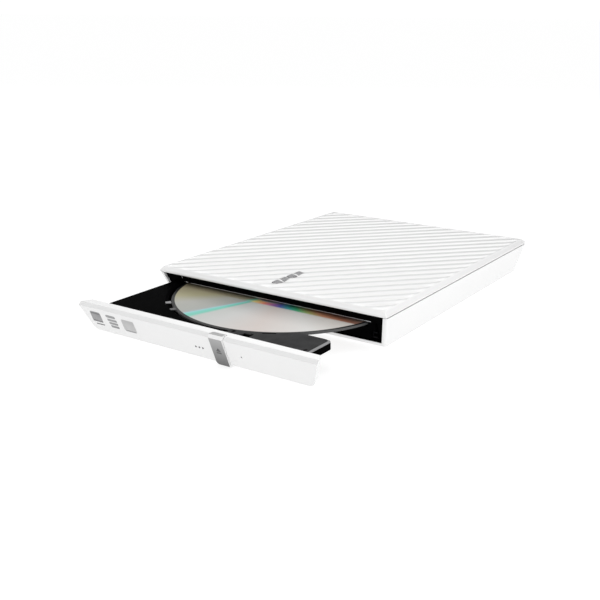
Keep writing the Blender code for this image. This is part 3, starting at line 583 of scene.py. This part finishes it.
LID_WALL = 1.9
RIDGE_PITCH = 7.8
RIDGE_RISE = 0.2  # of a crest over the rim's level, and of that level over a valley
RIDGE_FADE = 2.5
RIDGE_SHARPNESS = 1.8  # the higher, the narrower the valleys
GRID_CELLS = (177, 207)  # across and along: square cells, whose diagonals follow the ridges
MARK_CENTRE = (0.0, 20.3)
MARK_TOP = LID_HIGH.z - 0.01
MARK_BARS = 4


def ridge(x, y):
    """Height of the diagonal ridges: wide crests, narrow valleys, fading out at the rim."""
    phase = (y - x) / math.sqrt(2) / RIDGE_PITCH
    valley = (0.5 + 0.5 * math.cos(2 * math.pi * phase)) ** RIDGE_SHARPNESS
    inside = min(HALF - CHAMFER_IN - abs(x), y - CHAMFER_IN, DEPTH - CHAMFER_IN - y)
    fade = min(1.0, max(0.0, inside / RIDGE_FADE))
    return RIDGE_RISE * (1 - 2 * valley) * fade * fade * (3 - 2 * fade)


def lid(mats):
    """Top cover: a fine grid for the ridges, then the chamfer, the side band and the inside."""
    mesh = bmesh.new()
    half, half_depth, middle_y = HALF - CHAMFER_IN, DEPTH / 2 - CHAMFER_IN, DEPTH / 2
    columns, rows = GRID_CELLS
    xs = np.linspace(-half, half, columns + 1)
    ys = np.linspace(CHAMFER_IN, DEPTH - CHAMFER_IN, rows + 1)
    grid = [[mesh.verts.new((x, y, CROWN_Z + ridge(x, y))) for x in xs] for y in ys]
    for low, high in zip(grid, grid[1:]):
        for i in range(columns):
            mesh.faces.new((low[i], low[i + 1], high[i + 1]))
            mesh.faces.new((low[i], high[i + 1], high[i]))
    right_side = [row[-1] for row in grid[1:]]
    left_side = [row[0] for row in grid[-2:0:-1]]
    rim = grid[0] + right_side + grid[-1][-2::-1] + left_side

    def ring(outward, z):
        made = []
        for vert in rim:
            x = vert.co.x * ((half + outward) / half)
            y = middle_y + (vert.co.y - middle_y) * (half_depth + outward) / half_depth
            made.append(mesh.verts.new((x, y, z)))
        return made

    wall_in = CHAMFER_IN - LID_WALL
    low_z = LID_LOW.z
    levels = ((CHAMFER_IN, PARTING_Z), (CHAMFER_IN, low_z), (wall_in, low_z), (wall_in, PARTING_Z))
    rings = [rim, *(ring(outward, z) for outward, z in levels)]
    for low, high in zip(rings, rings[1:]):
        bridge(mesh, low, high)
    mesh.faces.new(rings[-1])
    piece = solid("lid_shell", mesh)
    white = "gloss_white_plastic"
    dress(piece, mats[white], "housing", ["top_cover"], 0.3)


def lid_mark(mats):
    """A plain generic mark on the lid: equal slanted bars in a row."""
    x, y = MARK_CENTRE
    length, gap, half_width, slant = 5.0, 1.2, 2.3, 0.8
    for number in range(1, MARK_BARS + 1):
        middle = y + (number - (MARK_BARS + 1) / 2) * (length + gap)
        near, far = middle - length / 2, middle + length / 2
        corners = [(x - half_width, near + slant), (x + half_width, near - slant),
                   (x + half_width, far - slant), (x - half_width, far + slant)]
        bar = plate(rounded(corners, 0.35), CROWN_Z - 0.5, MARK_TOP)
        dress(solid(f"lid_mark_{number}", bar), mats["mark"], "housing",
              bevel=0.06, segments=2)


# ---------------------------------------------------------------- tub and mouth


FOOT_NODES = ("foot_front_left", "foot_front_right", "foot_rear_left", "foot_rear_right")
SCREW_NODES = ("case_screw_1", "case_screw_2", "case_screw_3", "case_screw_4")
TUB_FLOOR = 1.4
TUB_WALL = 1.6
FOOT_WELL = (5.4, 0.4)  # radius and depth
SCREW_HEAD_RADIUS = 3.0
SCREW_HOLE_RADIUS = 1.5
SCREW_SEAT = 0.7
PORT_GAP = 0.5
MOUTH_LOW_Z = 2.9
MOUTH_LOW_HALF = 65.2
MOUTH_TOP_HALF = 69.1
PORTAL_HALF = 64.3
PORTAL_DEPTH = 2.8
LINTEL_Z = 13.7
# Light grey trims on the lintel: the edge and a nub at its left end are a painted highlight of the
# lintel's edge, the tick a small light mark. X from and to, Z from and to, and how far each stands
# proud
LINTEL_TRIMS = {
    "lintel_highlight": (-52.0, 61.0, LINTEL_Z - 0.02, LINTEL_Z + 0.26, 0.08),
    "lintel_nub": (-55.6, -53.8, 13.68, 14.35, 0.1),
    "lintel_tick": (-57.2, -56.7, 15.9, 17.2, 0.1),
}
TRIM_DEPTH = 0.15


def node_middle(node):
    low, high = drive_box(node)
    return ((low.x + high.x) / 2, (low.y + high.y) / 2)


def tub(mats):
    """Bottom cover: sides that draw in towards the desk, an open mouth, wells and a port."""
    top_z, belly = TUB_HIGH.z, TUB_LOW.z
    floor_z, seat = belly + TUB_FLOOR, belly + SCREW_SEAT

    def ring(z, inset, radius):
        drop = SIDE_SLOPE * (top_z - z)
        half = HALF - drop - inset
        corners = box_outline(-half, half, mouth_y(z) + inset, DEPTH - drop - inset)
        return [(x, y, z) for x, y in rounded(corners, radius)]

    opening = [(-MOUTH_LOW_HALF, MOUTH_LOW_Z), (MOUTH_LOW_HALF, MOUTH_LOW_Z),
               (MOUTH_TOP_HALF, top_z + 0.5), (-MOUTH_TOP_HALF, top_z + 0.5)]
    inside = loft([ring(floor_z, TUB_WALL, 0.8), ring(top_z + 1, TUB_WALL, 0.8)])
    cuts = [inside, wall(opening, -3, 9.5)]
    radius, depth = FOOT_WELL
    for node in FOOT_NODES:
        cuts.append(turned(node_middle(node), [(radius, 0), (radius, belly + depth)], FOOT_SIDES))
    screw = [(SCREW_HEAD_RADIUS, 0), (SCREW_HEAD_RADIUS, seat), (SCREW_HOLE_RADIUS, seat),
             (SCREW_HOLE_RADIUS, floor_z + 1)]
    for node in SCREW_NODES:
        cuts.append(turned(node_middle(node), screw, SCREW_SIDES))
    low, high = drive_box("usb_socket")
    port = box_outline(low.x - PORT_GAP, high.x + PORT_GAP, low.z - PORT_GAP, high.z + PORT_GAP)
    cuts.append(wall(rounded(port, 0.9), DEPTH - 9, DEPTH + 3))
    piece = solid("tub_shell", loft([ring(belly, 0, 1.2), ring(top_z, 0, 1.2)]), cuts)
    white = "gloss_white_plastic"
    dress(piece, mats[white], "housing", ["bottom_cover"], 0.22)


def mouth(mats):
    """Black portal inside the mouth, light grey trims on its lintel as a painted highlight, and a
    liner on its sill.
    """
    low_z, top_z = FRAME_LOW.z, FRAME_HIGH.z
    slant = (MOUTH_TOP_HALF - MOUTH_LOW_HALF) / (LID_LOW.z - MOUTH_LOW_Z)
    outer_low = MOUTH_LOW_HALF - 0.3 + slant * (low_z - MOUTH_LOW_Z)
    outer_top = FRAME_HIGH.x
    outline = [
        (-outer_low, low_z), (-PORTAL_HALF, low_z), (-PORTAL_HALF, LINTEL_Z),
        (PORTAL_HALF, LINTEL_Z), (PORTAL_HALF, low_z), (outer_low, low_z),
        (outer_top, top_z), (-outer_top, top_z),
    ]
    front = FRAME_LOW.y - FRONT_SLOPE * (PARTING_Z - top_z)
    black = "black_plastic"
    portal = solid("mouth_portal", lean(wall(outline, front, front + PORTAL_DEPTH), PARTING_Z))
    dress(portal, mats[black], "housing", ["mouth_frame"], 0.15)
    # Painted highlight: light grey strips along the lintel's edge
    for name, (*limits, proud) in LINTEL_TRIMS.items():
        trim = wall(box_outline(*limits), front - proud, front + TRIM_DEPTH)
        dress(solid(name, lean(trim, PARTING_Z)), mats["lintel_highlight"], "housing",
              bevel=0.05, segments=2)
    sill_front = mouth_y(MOUTH_LOW_Z) + 0.35
    sill = block((-64.8, sill_front, MOUTH_LOW_Z + 0.02), (64.8, 10.2, MOUTH_LOW_Z + 0.14))
    dress(solid("mouth_sill", sill), mats[black], "housing", bevel=0.04, segments=2)


# ---------------------------------------------------------------- fascia and its controls


FASCIA_WALL = 1.9
FASCIA_THICK = 6.9
FASCIA_LOW_HALF = 67.4
FASCIA_CORNER = 4.0
FASCIA_END_TAPER = 3.0  # each end is this much further in at the back than at the front
FASCIA_HOLLOW = ((-62.0, 3.6), (62.0, 3.6), (65.5, 13.9), (-65.5, 13.9))
TINY = 0.01
# Holes in the face, each with its X, Z and radius
FACE_HOLES = ((2.3, 7.3, 0.5), (4.4, 7.3, 0.5), (6.5, 7.3, 0.5), (29.0, 7.8, 0.4))
BOSS = (16.7, 8.0)  # X and Z of the pin behind the strip, which presses the switch
BOSS_RADIUS = 1.2
BOSS_WELL_RADIUS = 1.7

STRIP_TOP_REAR = -52.3
STRIP_PROUD = 0.7
STRIP_THICK = 1.1
STRIP_TRAVEL = 0.6
STRIP_FOOT = (3.6, 0.8)  # depth and thickness of the hook under the fascia
STRIP_CORNER = 1.6
STRIP_SIDE_GAP = 0.05  # the strip's sides stay this far inside the CAD node's
# Below this height the strip's sides get the painted highlight
STRIP_HIGHLIGHT_Z = 13.0  # its sides are bright below this
CHANNEL_GAP = 0.3
CHANNEL_SIDE_GAP = 0.12
SIGN_HALF = 1.4
PRINT_THICK = 0.2
PRINT_RISE = 0.03  # the sign and the badges stand this far over the face


def strip_section():
    """Side view of the silver strip, which wraps the fascia from its top to its underside."""
    top, low = STRIP_HIGH.z, STRIP_LOW.z
    foot, foot_thick = STRIP_FOOT
    edge = FASCIA_EDGE_Z + 0.2
    front, foot_top = FASCIA_LOW.y, low + foot_thick
    return [
        (fascia_y(low) + foot, low), (fascia_y(low) - STRIP_PROUD, low),
        (front - STRIP_PROUD, edge), (front - 0.2, top),
        (STRIP_TOP_REAR, top), (STRIP_TOP_REAR, top - STRIP_THICK),
        (front + 0.9, top - STRIP_THICK), (front + 0.5, edge - 0.5),
        (fascia_y(foot_top) + STRIP_THICK - STRIP_PROUD, foot_top),
        (fascia_y(low) + foot, foot_top),
    ]


def strip_channel():
    """The space that the strip sits and moves in."""
    deep = STRIP_THICK - STRIP_PROUD + STRIP_TRAVEL + CHANNEL_GAP
    bed = STRIP_HIGH.z - STRIP_THICK - CHANNEL_GAP
    front = FASCIA_LOW.y
    shoulder = FASCIA_EDGE_Z - 1.2
    rear = STRIP_TOP_REAR + STRIP_TRAVEL + CHANNEL_GAP
    section = [
        (fascia_y(0) - 3, 0.0), (fascia_y(0) + deep, 0.0), (fascia_y(shoulder) + deep, shoulder),
        (front + deep + 1.6, bed), (rear, bed), (rear, bed + 4), (fascia_y(0) - 9, bed + 4),
    ]
    return beam(section, STRIP_LOW.x - CHANNEL_SIDE_GAP, STRIP_HIGH.x + CHANNEL_SIDE_GAP)


def fascia(mats):
    """Door on the front of the tray: leaning face, chamfered crown, tapered ends, hollow behind."""
    low, edge_half, base = FASCIA_LOW.z, FASCIA_HIGH.x, FASCIA_LOW.y
    corner = (FASCIA_LOW_HALF - FASCIA_CORNER, low + FASCIA_CORNER)
    right = [*arc(corner, FASCIA_CORNER, -90, -10, 10), (edge_half, FASCIA_EDGE_Z)]
    left = [(-x, z) for x, z in reversed(right)]
    outline = [*right, (edge_half, FASCIA_TOP_Z), (-edge_half, FASCIA_TOP_Z), *left]
    mesh = wall(outline, 0, FASCIA_THICK)
    front = [v for v in mesh.verts if v.co.y < TINY]
    for vert in mesh.verts:
        if vert.co.y > TINY:
            vert.co.x -= math.copysign(FASCIA_END_TAPER, vert.co.x)
    shoulder = [v for v in front if abs(v.co.z - FASCIA_EDGE_Z) < TINY]
    bmesh.ops.connect_verts(mesh, verts=shoulder)
    crown = FASCIA_TOP_Z - FASCIA_EDGE_Z
    for vert in front:
        if vert.co.z > FASCIA_TOP_Z - TINY:
            vert.co.y += crown * (1 + FRONT_SLOPE)
    bmesh.ops.triangulate(mesh, faces=[f for f in mesh.faces if len(f.verts) == 4])
    shift_y(lean(mesh, FASCIA_EDGE_Z), base)
    cuts = [lean(wall(FASCIA_HOLLOW, base + FASCIA_WALL, base + 9), FASCIA_EDGE_Z), strip_channel()]
    for x, z, radius in FACE_HOLES:
        cuts.append(rod(x, z, radius, fascia_y(z) - 2, fascia_y(z) + 3.2))
    x, z = BOSS
    cuts.append(rod(x, z, BOSS_WELL_RADIUS, fascia_y(z) + 0.2, fascia_y(z) + 3.4))
    piece = solid("fascia_door", mesh, cuts)
    white = "gloss_white_plastic"
    dress(piece, mats[white], "tray_carriage", ["fascia"], 0.28)
    # The chamfer faces get a slightly darker white: painted shade
    piece.data.materials.append(mats["door_chamfer_shade"])
    for face in piece.data.polygons:
        if face.normal.y < -0.3 and face.normal.z > 0.3:
            face.material_index = 1


def strip(mats):
    """Silver eject button, its shoulder and the lower part of its sides in a light grey as a
    painted highlight, and its sign as a dark inlay.
    """
    left, right, low = STRIP_LOW.x + STRIP_SIDE_GAP, STRIP_HIGH.x - STRIP_SIDE_GAP, STRIP_LOW.z
    x, z = BOSS
    boss = rod(x, z, BOSS_RADIUS, fascia_y(z) - 0.1, fascia_y(z) + 2.3)
    inner = left + STRIP_CORNER
    corner = [(left - 1, low - 1), (inner, low - 1), (inner, low),
              *arc((inner, low + STRIP_CORNER), STRIP_CORNER, -90, -180, 6),
              (left - 1, low + STRIP_CORNER)]
    mesh = beam(strip_section(), left, right)
    piece = solid("eject_strip", mesh, cuts=[wall(corner, -70, 0)], joins=[boss])
    silver = "silver_strip"
    dress(piece, mats[silver], "button", ["eject_button"], 0.12)
    # The shoulder and the lower part of the sides get a light grey: a painted highlight
    piece.data.materials.append(mats["strip_highlight"])
    for face in piece.data.polygons:
        shoulder = face.normal.y < -0.3 and 0.1 < face.normal.z < 0.9
        if shoulder or abs(face.normal.x) > 0.9 and face.center.z < STRIP_HIGHLIGHT_Z * MM:
            face.material_index = 1
    triangle = [(x - SIGN_HALF, 8.1), (x + SIGN_HALF, 8.1), (x, 9.9)]
    bar = box_outline(x - SIGN_HALF, x + SIGN_HALF, 7.0, 7.6)
    for name, outline in (("triangle", triangle), ("bar", bar)):
        front = -STRIP_PROUD - PRINT_RISE
        shape = wall(rounded(outline, 0.12, 3), front, -STRIP_PROUD + PRINT_THICK)
        shift_y(shape, FASCIA_LOW.y)
        sign = solid(f"eject_sign_{name}", lean(shape, FASCIA_EDGE_Z))
        dress(sign, mats["sign"], "button", bevel=0)


# Badges on the door: material, lift over the others, and bars. Each bar has its X from and to, its
# Z from and to and the radius of its corners
BADGES = {
    "badge_patch": ("print_middle", 0.0, [(-64.8, -57.8, 6.9, 12.5, 0.9)]),
    "badge_frame": ("print_dark", PRINT_RISE, [
        (-64.6, -57.9, 6.8, 7.6, 0.25),
        (-64.3, -58.4, 11.2, 11.9, 0.25),
        (-63.2, -57.6, 5.2, 5.8, 0.25),
    ]),
    "badge_stack": ("print_middle", 0.0, [
        (-54.0, -47.6, 10.9, 12.4, 0.7),
        (-53.6, -47.3, 9.0, 10.3, 0.25),
        (-53.2, -47.3, 7.2, 8.5, 0.25),
        (-52.8, -47.3, 5.4, 6.7, 0.25),
    ]),
    "badge_pale": ("print_light", 0.0, [(-43.6, -35.4, 5.6, 12.0, 0.6)]),
    "badge_foot": ("print_middle", PRINT_RISE, [(-42.8, -36.0, 5.5, 6.2, 0.25)]),
}


def badges(mats):
    """Three plain marks in place of format badges: a framed patch, stacked bars, a pale patch."""
    for name, (mat, lift, bars) in BADGES.items():
        for number, (*limits, radius) in enumerate(bars, 1):
            mesh = wall(rounded(box_outline(*limits), radius, 3), 0, PRINT_THICK)
            shift_y(mesh, FASCIA_LOW.y - PRINT_RISE - lift)
            piece = solid(f"{name}_{number}", lean(mesh, FASCIA_EDGE_Z))
            dress(piece, mats[mat], "tray_carriage", bevel=0)


# ---------------------------------------------------------------- tray


# The front strip, the notch behind it and the wing to the right of the notch
FRONT_STRIP_RIGHT = 59.3
FRONT_STRIP_REAR = -26.0
FRONT_STRIP_CORNER = 2.6
FRONT_STRIP_UNDER = 9.7
NOTCH_X = 24.0
WING_Y = 4.0
# The skirt under the deck
SKIRT_HALF = 60.2
SKIRT_WALL = 1.6
SKIRT_FRONT = -43.6
# Openings and hollows
RIM_RUN = 1.5  # the rim of the recess slopes outwards by this
RIM_DROP = 0.9
SMALL_DISC_RADIUS = 41.0
WINDOW_X = (-22.0, 21.6)
WINDOW_Y = (-37.4, 8.0)
SPINDLE_OPENING = 16.5
LENS_SLOT_HALF = 3.4
LENS_SLOT_FRONT = -39.1
LATCH_LANE = (35.6, 45.2)
PLATE_POCKET_X = 11.4
PLATE_POCKET_REAR = -24.0
PLATE_POCKET_DEPTH = 0.7
PLUNGER_HOLE = (2.2, 1.3)  # half its width and half its height
SLIT_ANGLES = (205, 222, 250, 262)
SLIT_RADIUS = 52.0
SLIT_HALF = (3.2, 0.9)
FRONT_GROOVE = (-58.5, 5.0, -45.0, -44.2)  # X from and to, Y from and to

# The plate on the front strip
PLATE_CORNER = 2.4
PLATE_RIM_GAP = 0.4
PLATE_EDGE_WIDTH = 1.5
PLATE_EDGE_GAP = 0.1
PLATE_EDGE_DROP = 0.22
# Outlines of its notches, and the radius of their corners
PLATE_NOTCHES = (
    (box_outline(13.6, 15.5, -41.4, -39.4), 0.0),
    ([(20.4, -46.0), (25.2, -46.0), (25.2, -38.8), (23.8, -38.8), (23.8, -39.8), (20.4, -39.8)],
     0.2),
    ([(27.4, -36.3), (33.2, -33.0), (32.4, -31.8), (26.8, -35.2)], 0.3),
    (box_outline(55.0, 56.4, -42.6, -40.9), 0.0),
)

CLIP_LIP = ((-1.7, -1.3), (1.7, -1.3), (1.3, 1.5), (-1.3, 1.5))


def tray(mats):
    """Black tray: sloped rim round the disc recess, a recess for small discs, slits and window."""
    left, right, front, rear = TRAY_LOW.x, TRAY_HIGH.x, TRAY_LOW.y, TRAY_HIGH.y
    low, top = TRAY_LOW.z, TRAY_HIGH.z
    under, over = low - 1, top + 1
    centre = (0, DISC_Y)
    corner = (FRONT_STRIP_RIGHT - FRONT_STRIP_CORNER, FRONT_STRIP_REAR - FRONT_STRIP_CORNER)
    outline = [
        (left, front), (FRONT_STRIP_RIGHT, front), *arc(corner, FRONT_STRIP_CORNER, 0, 90, 8),
        (NOTCH_X, FRONT_STRIP_REAR), (NOTCH_X, WING_Y), (right, WING_Y),
        (right, rear), (left, rear),
    ]
    inner_half, inner_notch = SKIRT_HALF - SKIRT_WALL, NOTCH_X - SKIRT_WALL
    inner_front, inner_wing = SKIRT_FRONT + SKIRT_WALL, WING_Y + SKIRT_WALL
    inner_rear = rear - SKIRT_WALL
    inside = [
        (-inner_half, inner_front), (inner_notch, inner_front), (inner_notch, inner_wing),
        (inner_half, inner_wing), (inner_half, inner_rear), (-inner_half, inner_rear),
    ]
    window_rear = arc(centre, SPINDLE_OPENING, -50, 230, 48)
    window = [
        (WINDOW_X[0], WINDOW_Y[0]), (WINDOW_X[1], WINDOW_Y[0]), (WINDOW_X[1], WINDOW_Y[1]),
        *window_rear, (WINDOW_X[0], WINDOW_Y[1]),
    ]
    recess = [(RECESS_RADIUS, RECESS_Z), (RECESS_RADIUS, top - RIM_DROP),
              (RECESS_RADIUS + RIM_RUN, top + 0.01), (RECESS_RADIUS + RIM_RUN, over)]
    small_recess = [(SMALL_DISC_RADIUS, RECESS_Z - 0.5), (SMALL_DISC_RADIUS, RECESS_Z + 1)]
    plunger = drive_box("eject_plunger")
    plunger_x, plunger_z = (sum(c.x for c in plunger) / 2, sum(c.z for c in plunger) / 2)
    hole_x, hole_z = PLUNGER_HOLE
    cuts = [
        plate(inside, under, DECK_Z),
        block((left - 1, front - 1, under), (-SKIRT_HALF, rear + 1, DECK_Z)),
        block((SKIRT_HALF, WING_Y - 1, under), (right + 1, rear + 1, DECK_Z)),
        block((-SKIRT_HALF - 0.5, front - 1, under), (right + 1, SKIRT_FRONT, DECK_Z)),
        block((NOTCH_X + 0.2, SKIRT_FRONT - 1, under),
              (right + 1, FRONT_STRIP_REAR + 1, FRONT_STRIP_UNDER)),
        turned(centre, recess, RECESS_SIDES),
        turned(centre, small_recess, HUB_SIDES),
        plate(window, under, over),
        block((-LENS_SLOT_HALF, LENS_SLOT_FRONT, under), (LENS_SLOT_HALF, WINDOW_Y[0] + 0.4, over)),
        block((LATCH_LANE[0], WING_Y - 1, under), (LATCH_LANE[1], rear + 1, DECK_Z - 0.2)),
        block((PLATE_POCKET_X, front + 0.6, top - PLATE_POCKET_DEPTH),
              (FRONT_STRIP_RIGHT + 2, PLATE_POCKET_REAR, over)),
        block((plunger_x - hole_x, rear - 3, plunger_z - hole_z),
              (plunger_x + hole_x, rear + 3, plunger_z + hole_z)),
    ]
    half_x, half_y = SLIT_HALF
    for angle in SLIT_ANGLES:
        x, y = arc(centre, SLIT_RADIUS, angle, angle, 0)[0]
        cuts.append(block((x - half_x, y - half_y, RECESS_Z - 0.4),
                          (x + half_x, y + half_y, RECESS_Z + 1)))
    cuts.append(plate(rounded(box_outline(*FRONT_GROOVE), 0.3), top - 0.4, over))
    piece = solid("tray_body", plate(outline, low, top), cuts)
    black = "black_plastic"
    dress(piece, mats[black], "tray_carriage", ["tray"], 0.14, 2)


def cover_plate(mats):
    """Dark grey plate on the front strip, with notches and a sloping right edge in a paler grey,
    which paints its highlight.
    """
    low, high = PLATE_LOW, PLATE_HIGH
    radius = RECESS_RADIUS + PLATE_RIM_GAP
    meet = math.degrees(math.asin((DISC_Y - high.y) / radius))
    end = math.degrees(math.acos(low.x / radius))
    rim = arc((0, DISC_Y), radius, -meet, -end, 40)
    right, corner_y = high.x - PLATE_EDGE_WIDTH, high.y - PLATE_CORNER
    corner = arc((right - PLATE_CORNER, corner_y), PLATE_CORNER, 0, 90, 10)
    notches = [plate(rounded(points, corners) if corners else points, low.z - 1, high.z + 1)
               for points, corners in PLATE_NOTCHES]
    outline = [(low.x, low.y), (right, low.y), *corner, *rim]
    piece = solid("cover_plate", plate(outline, low.z, high.z), notches)
    grey_plastic = "dark_grey_plastic"
    dress(piece, mats[grey_plastic], "tray_carriage", ["tray_cover_plate"], 0.12, 2)

    # The sloping right edge in a paler grey: a painted highlight
    inner = right + PLATE_EDGE_GAP
    outer_arc, inner_arc = (arc((x - PLATE_CORNER, corner_y), PLATE_CORNER, 0, 62, 8)
                            for x in (high.x, inner))
    outline = [(inner, low.y), (high.x, low.y), *outer_arc, *reversed(inner_arc)]
    ledge = plate(outline, low.z, high.z)
    for vert in ledge.verts:
        if vert.co.z > high.z - TINY and vert.co.x > right + 0.3:
            vert.co.z -= PLATE_EDGE_DROP
    dress(solid("cover_plate_edge", ledge), mats["plate_edge_highlight"], "tray_carriage",
          bevel=0.08, segments=2)


def clips(mats):
    """Grey clips on the rim of the recess. The second one lies in the shade, and a darker grey
    paints that shade on it.
    """
    for number, mat in ((1, "grey_clip_plastic"), (2, "clip_shade")):
        node = f"disc_tab_{number}"
        x, y = node_middle(node)
        low, high = drive_box(node)
        turn = math.atan2(y - DISC_Y, x) - math.pi / 2
        cos, sin = math.cos(turn), math.sin(turn)
        lip = rounded(CLIP_LIP, 0.4)
        outline = [(x + u * cos - v * sin, y + u * sin + v * cos) for u, v in lip]
        piece = solid(f"rim_clip_{number}", plate(outline, low.z, high.z))
        dress(piece, mats[mat], "tray_carriage", [node], 0.08, 2)


# ---------------------------------------------------------------- disc and spindle


DISC_HOLE_RADIUS = 7.5
HUB_RADIUS = 7.1
FINGER_PLACE = 6.9  # from the middle of the hub
FINGERS = 3


def disc(mats):
    """Disc with its stacking ring, rounded rim and hole."""
    low, high = DISC_LOW.z, DISC_HIGH.z
    outer, inner = DISC_RADIUS, DISC_HOLE_RADIUS
    profile = [
        (outer - 0.15, low), (outer, low + 0.2), (outer, high - 0.2), (outer - 0.15, high),
        (23.0, high), (22.6, high - 0.06), (18.4, high - 0.06), (18.0, high + 0.06),
        (17.2, high + 0.06), (16.8, high - 0.04), (inner + 0.15, high - 0.04), (inner, high - 0.25),
        (inner, low + 0.25), (inner + 0.15, low),
    ]
    piece = solid("disc_plate", turned((0, DISC_Y), profile, DISC_SIDES, hoop=True))
    dress(piece, mats["disc_polycarbonate"], "spindle", ["disc"], 0)


def spindle(mats):
    """Turntable with a rubber ring, and the hub cap with its sprung fingers."""
    centre, black = (0, DISC_Y), "black_plastic"
    low, high, radius = TABLE_LOW.z, TABLE_HIGH.z, TABLE_HIGH.x
    profile = [
        (radius - 0.3, low), (radius, low + 0.2), (radius, high - 0.3), (radius - 0.3, high),
        (radius - 3.6, high), (radius - 3.8, high - 0.25), (1.5, high - 0.25),
    ]
    table = solid("turntable_plate", turned(centre, profile, HUB_SIDES))
    dress(table, mats[black], "spindle", ["turntable"], 0)
    low, high = HUB_LOW.z, HUB_HIGH.z
    profile = [
        (HUB_RADIUS, low), (HUB_RADIUS, high - 0.75), (6.9, high - 0.4), (6.2, high), (3.2, high),
        (3.0, high - 0.3), (1.2, high - 0.3), (1.0, high - 0.6),
    ]
    finger = [(0.8, high - 0.8), (1.1, high - 0.6), (1.0, high - 0.25), (0.6, high - 0.12)]
    joins = []
    for index in range(FINGERS):
        angle = math.radians(90 + 360 / FINGERS * index)
        place = (FINGER_PLACE * math.cos(angle), DISC_Y + FINGER_PLACE * math.sin(angle))
        joins.append(turned(place, finger, PIN_SIDES))
    hub = solid("hub_crown", turned(centre, profile, HUB_SIDES), joins=joins)
    dress(hub, mats[black], "spindle", ["hub_cap"], 0)


# ---------------------------------------------------------------- everything else


SPRINGS = ("latch_spring", "eject_spring")  # round wire, which needs no rounding


def dress_cad_nodes(mats):
    """CAD nodes get their slot's material, and those in view slightly rounded edges."""
    slots = {part["node"]: part["material_slot"] for part in frame["record"]["subparts"]}
    for name, node in frame["nodes"].items():
        node.data.materials.clear()
        node.data.materials.append(mats[slots[name]])
        if not node.hide_render and name not in SPRINGS:
            round_edges(node, 0.08, 2, 35)


# ---------------------------------------------------------------- studio


VIEW_AZIMUTH = 31.42  # degrees to the right of the front
VIEW_ELEVATION = 18.2
VIEW_ROLL = 0.51
VIEW_DISTANCE = 438.09
VIEW_RIGHT = 55.60
VIEW_UP = 13.77
VIEW_LENS = 52.03
VIEW_SHIFT = -0.125
FLOOR_SIZE = 60.0
FLOOR_GLOW = 0.84
# Light of the room by height: positions and levels, with soft steps between them
ROOM_ZONES = ((0.50, 1.05), (0.56, 1.05), (0.585, 0.15), (0.655, 0.15), (0.70, 0.80), (1.0, 0.62))
# Place, aim and size of each lamp in metres, and its power in watts
LAMPS = {
    "lamp_over_front": ((0.02, -0.14, 0.42), (0, -0.03, 0), (0.35, 0.35), 0.7),
    "lamp_front": ((0.75, -1.1, 0.12), (0.03, -0.1, 0), (0.8, 0.3), 2.6),
    "lamp_right": ((1.2, -0.1, 0.25), (0, 0, 0), (0.8, 0.35), 3.0),
    "lamp_behind": ((-0.62, 1.02, 0.62), (0, 0, 0), (1.5, 0.4), 2.0),
}


def camera():
    """Camera at the front right, above the desk. The shift keeps the drive left of the middle."""
    az, el, roll = (math.radians(v) for v in (VIEW_AZIMUTH, VIEW_ELEVATION, VIEW_ROLL))
    back = Vector((math.sin(az) * math.cos(el), -math.cos(az) * math.cos(el), math.sin(el)))
    right = (-back).cross(Vector((0, 0, 1))).normalized()
    up = right.cross(-back)
    x_axis = right * math.cos(roll) + up * math.sin(roll)
    y_axis = up * math.cos(roll) - right * math.sin(roll)
    place = back * VIEW_DISTANCE + x_axis * VIEW_RIGHT + y_axis * VIEW_UP
    lens = bpy.data.cameras.new("camera")
    lens.lens = VIEW_LENS
    lens.shift_x = VIEW_SHIFT
    lens.clip_start = 0.01
    eye = add_object("camera", lens)
    turn = Matrix((x_axis, y_axis, back)).transposed()
    eye.matrix_world = Matrix.Translation(place * MM + Vector((0, LID_FRONT, 0))) @ turn.to_4x4()
    bpy.context.scene.camera = eye


def area_light(name, place, aim, size, power):
    lamp = bpy.data.lights.new(name, "AREA")
    lamp.shape = "RECTANGLE"
    lamp.size, lamp.size_y = size
    lamp.energy = power
    obj = add_object(name, lamp)
    obj.location = place
    obj.rotation_euler = (Vector(aim) - Vector(place)).to_track_quat("-Z", "Y").to_euler()


def room_light():
    """Bright at the horizon, a darker band above it and even light from there to the top."""
    world = bpy.data.worlds.new("studio_light")
    world.use_nodes = True
    tree = world.node_tree
    direction = add_node(tree, "ShaderNodeTexCoord").outputs["Generated"]
    height = add_node(tree, "ShaderNodeSeparateXYZ", {"Vector": direction}).outputs["Z"]
    stops = [(position, grey(level)) for position, level in ROOM_ZONES]
    colour = colour_ramp(tree, map_range(tree, height, -1.0, 1.0), stops)
    tree.links.new(colour, tree.nodes["Background"].inputs["Color"])
    bpy.context.scene.world = world


def studio():
    """Pale glowing floor, soft light from all round and four soft lamps."""
    mesh = bmesh.new()
    bmesh.ops.create_grid(mesh, x_segments=8, y_segments=8, size=FLOOR_SIZE)
    floor = add_object("studio_floor", data_from(mesh, "studio_floor"))
    paper = surface("studio_floor", grey(0.24), 0.7, mottle=0.004, grain=40, relief=0.0,
                    specular=0.0)
    shader = paper.node_tree.nodes["Principled BSDF"]
    set_inputs(shader, {"Emission Color": (1, 1, 1, 1), "Emission Strength": FLOOR_GLOW})
    floor.data.materials.append(paper)
    room_light()
    for name, values in LAMPS.items():
        area_light(name, *values)
    bpy.context.scene.view_settings.view_transform = "Standard"


# ---------------------------------------------------------------- whole


def build():
    mats = all_materials()
    for make in (lid, lid_mark, tub, mouth, fascia, strip, badges, tray, cover_plate, clips, disc,
                 spindle, dress_cad_nodes):
        make(mats)
    studio()
    camera()


build()
